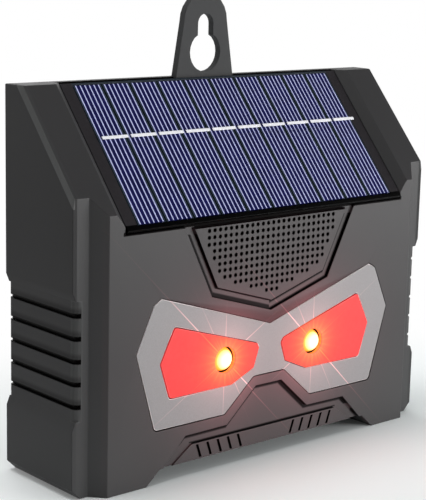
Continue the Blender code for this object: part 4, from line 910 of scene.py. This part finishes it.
def floor_paper():
    """Pale paper near the object, which takes its shadow, and plain white further out."""
    material = bpy.data.materials.new("floor_paper")
    material.use_nodes = True
    tree = material.node_tree
    shader = tree.nodes["Principled BSDF"]
    shader.inputs["Base Color"].default_value = (0.94, 0.985, 0.985, 1.0)
    shader.inputs["Roughness"].default_value = 0.9
    shader.inputs["Specular IOR Level"].default_value = 0.0
    place = Wire(tree).add("ShaderNodeTexCoord", output="Object")
    away = 1.0 - place.distance(SHADOW_SPOT).within(SHADOW_REACH, SHADOW_SOFT)
    paper = Wire(tree, shader.outputs[0])
    white = paper.add("ShaderNodeEmission", {}, {"Color": (1.0, 1.0, 1.0, 1.0), "Strength": 1.0})
    both = paper.add("ShaderNodeMixShader", {}, {0: away * seen_straight(paper), 1: paper, 2: white})
    tree.links.new(both.socket, tree.nodes["Material Output"].inputs["Surface"])
    return material


sheet = bmesh.new()
bmesh.ops.create_grid(sheet, x_segments=1, y_segments=1, size=FLOOR_HALF)
floor_mesh = bpy.data.meshes.new("floor")
sheet.to_mesh(floor_mesh)
sheet.free()
floor_mesh.materials.append(floor_paper())
floor = bpy.data.objects.new("floor", floor_mesh)
bpy.context.collection.objects.link(floor)
print("shadow shown within", SHADOW_REACH, "m of", SHADOW_SPOT)

# %% [markdown]
# ## The sky
# The world is white to the camera and in mirrors, which show it dimmer higher up. For all
# other light it is only a weak fill, so that shadows keep their depth. A picture of a studio
# could light the object too, but a plain sky has no lamps of its own that would show on the
# film over the cells.

# %% World
FILL = 0.28
LOW_SKY, HIGH_SKY, HIGH_SKY_LIGHT = 0.25, 0.6, 0.12
world = bpy.data.worlds.new("studio")
bpy.context.scene.world = world
world.use_nodes = True
sky = world.node_tree
way = Wire(sky).add("ShaderNodeTexCoord", output="Generated")
height = way.xyz()[2]
low_sky = height.add("ShaderNodeMapRange", {}, {"Value": height, "From Min": LOW_SKY, "From Max": HIGH_SKY,
                                                "To Min": 1.0, "To Max": HIGH_SKY_LIGHT})
seen = Wire(sky).add("ShaderNodeLightPath", output="Is Camera Ray")
mirror = seen.beside("Is Glossy Ray").larger(seen.beside("Is Transmission Ray"))
strength = seen + (1.0 - seen) * (mirror * low_sky + (1.0 - mirror) * FILL)
back = sky.nodes["Background"]
back.inputs["Color"].default_value = (1.0, 1.0, 1.0, 1.0)
sky.links.new(strength.socket, back.inputs["Strength"])
print("fill:", FILL)

# %% [markdown]
# ## Studio lights
# A low soft light stands in front and to the right, where its sheen reaches the front face
# but not the dark slopes. A wide one hangs over the object, and a weak one behind it lifts
# the upper edges. Area lights are used, because a point light would draw hard shadows.

# %% Lamps of the studio


def soft_light(name, spot, aim, wide, tall, power):
    """A rectangle of light at a spot, which faces another spot."""
    data = bpy.data.lights.new(name, "AREA")
    data.shape = "RECTANGLE"
    data.size, data.size_y, data.energy = wide, tall, power
    light = bpy.data.objects.new(name, data)
    bpy.context.collection.objects.link(light)
    light.matrix_world = aim_matrix(Vector(spot), (Vector(aim) - Vector(spot)).normalized())
    light.visible_camera = False
    return light


CENTRE = (0.0, 0.0, 0.06)
soft_light("key", (0.72, -0.84, 0.16), CENTRE, 0.7, 0.35, 9.8)
soft_light("top", (-0.1, 0.15, 1.3), CENTRE, 0.9, 0.9, 10.0)
soft_light("back", (0.4, 1.3, 0.6), CENTRE, 0.6, 0.6, 3.0)
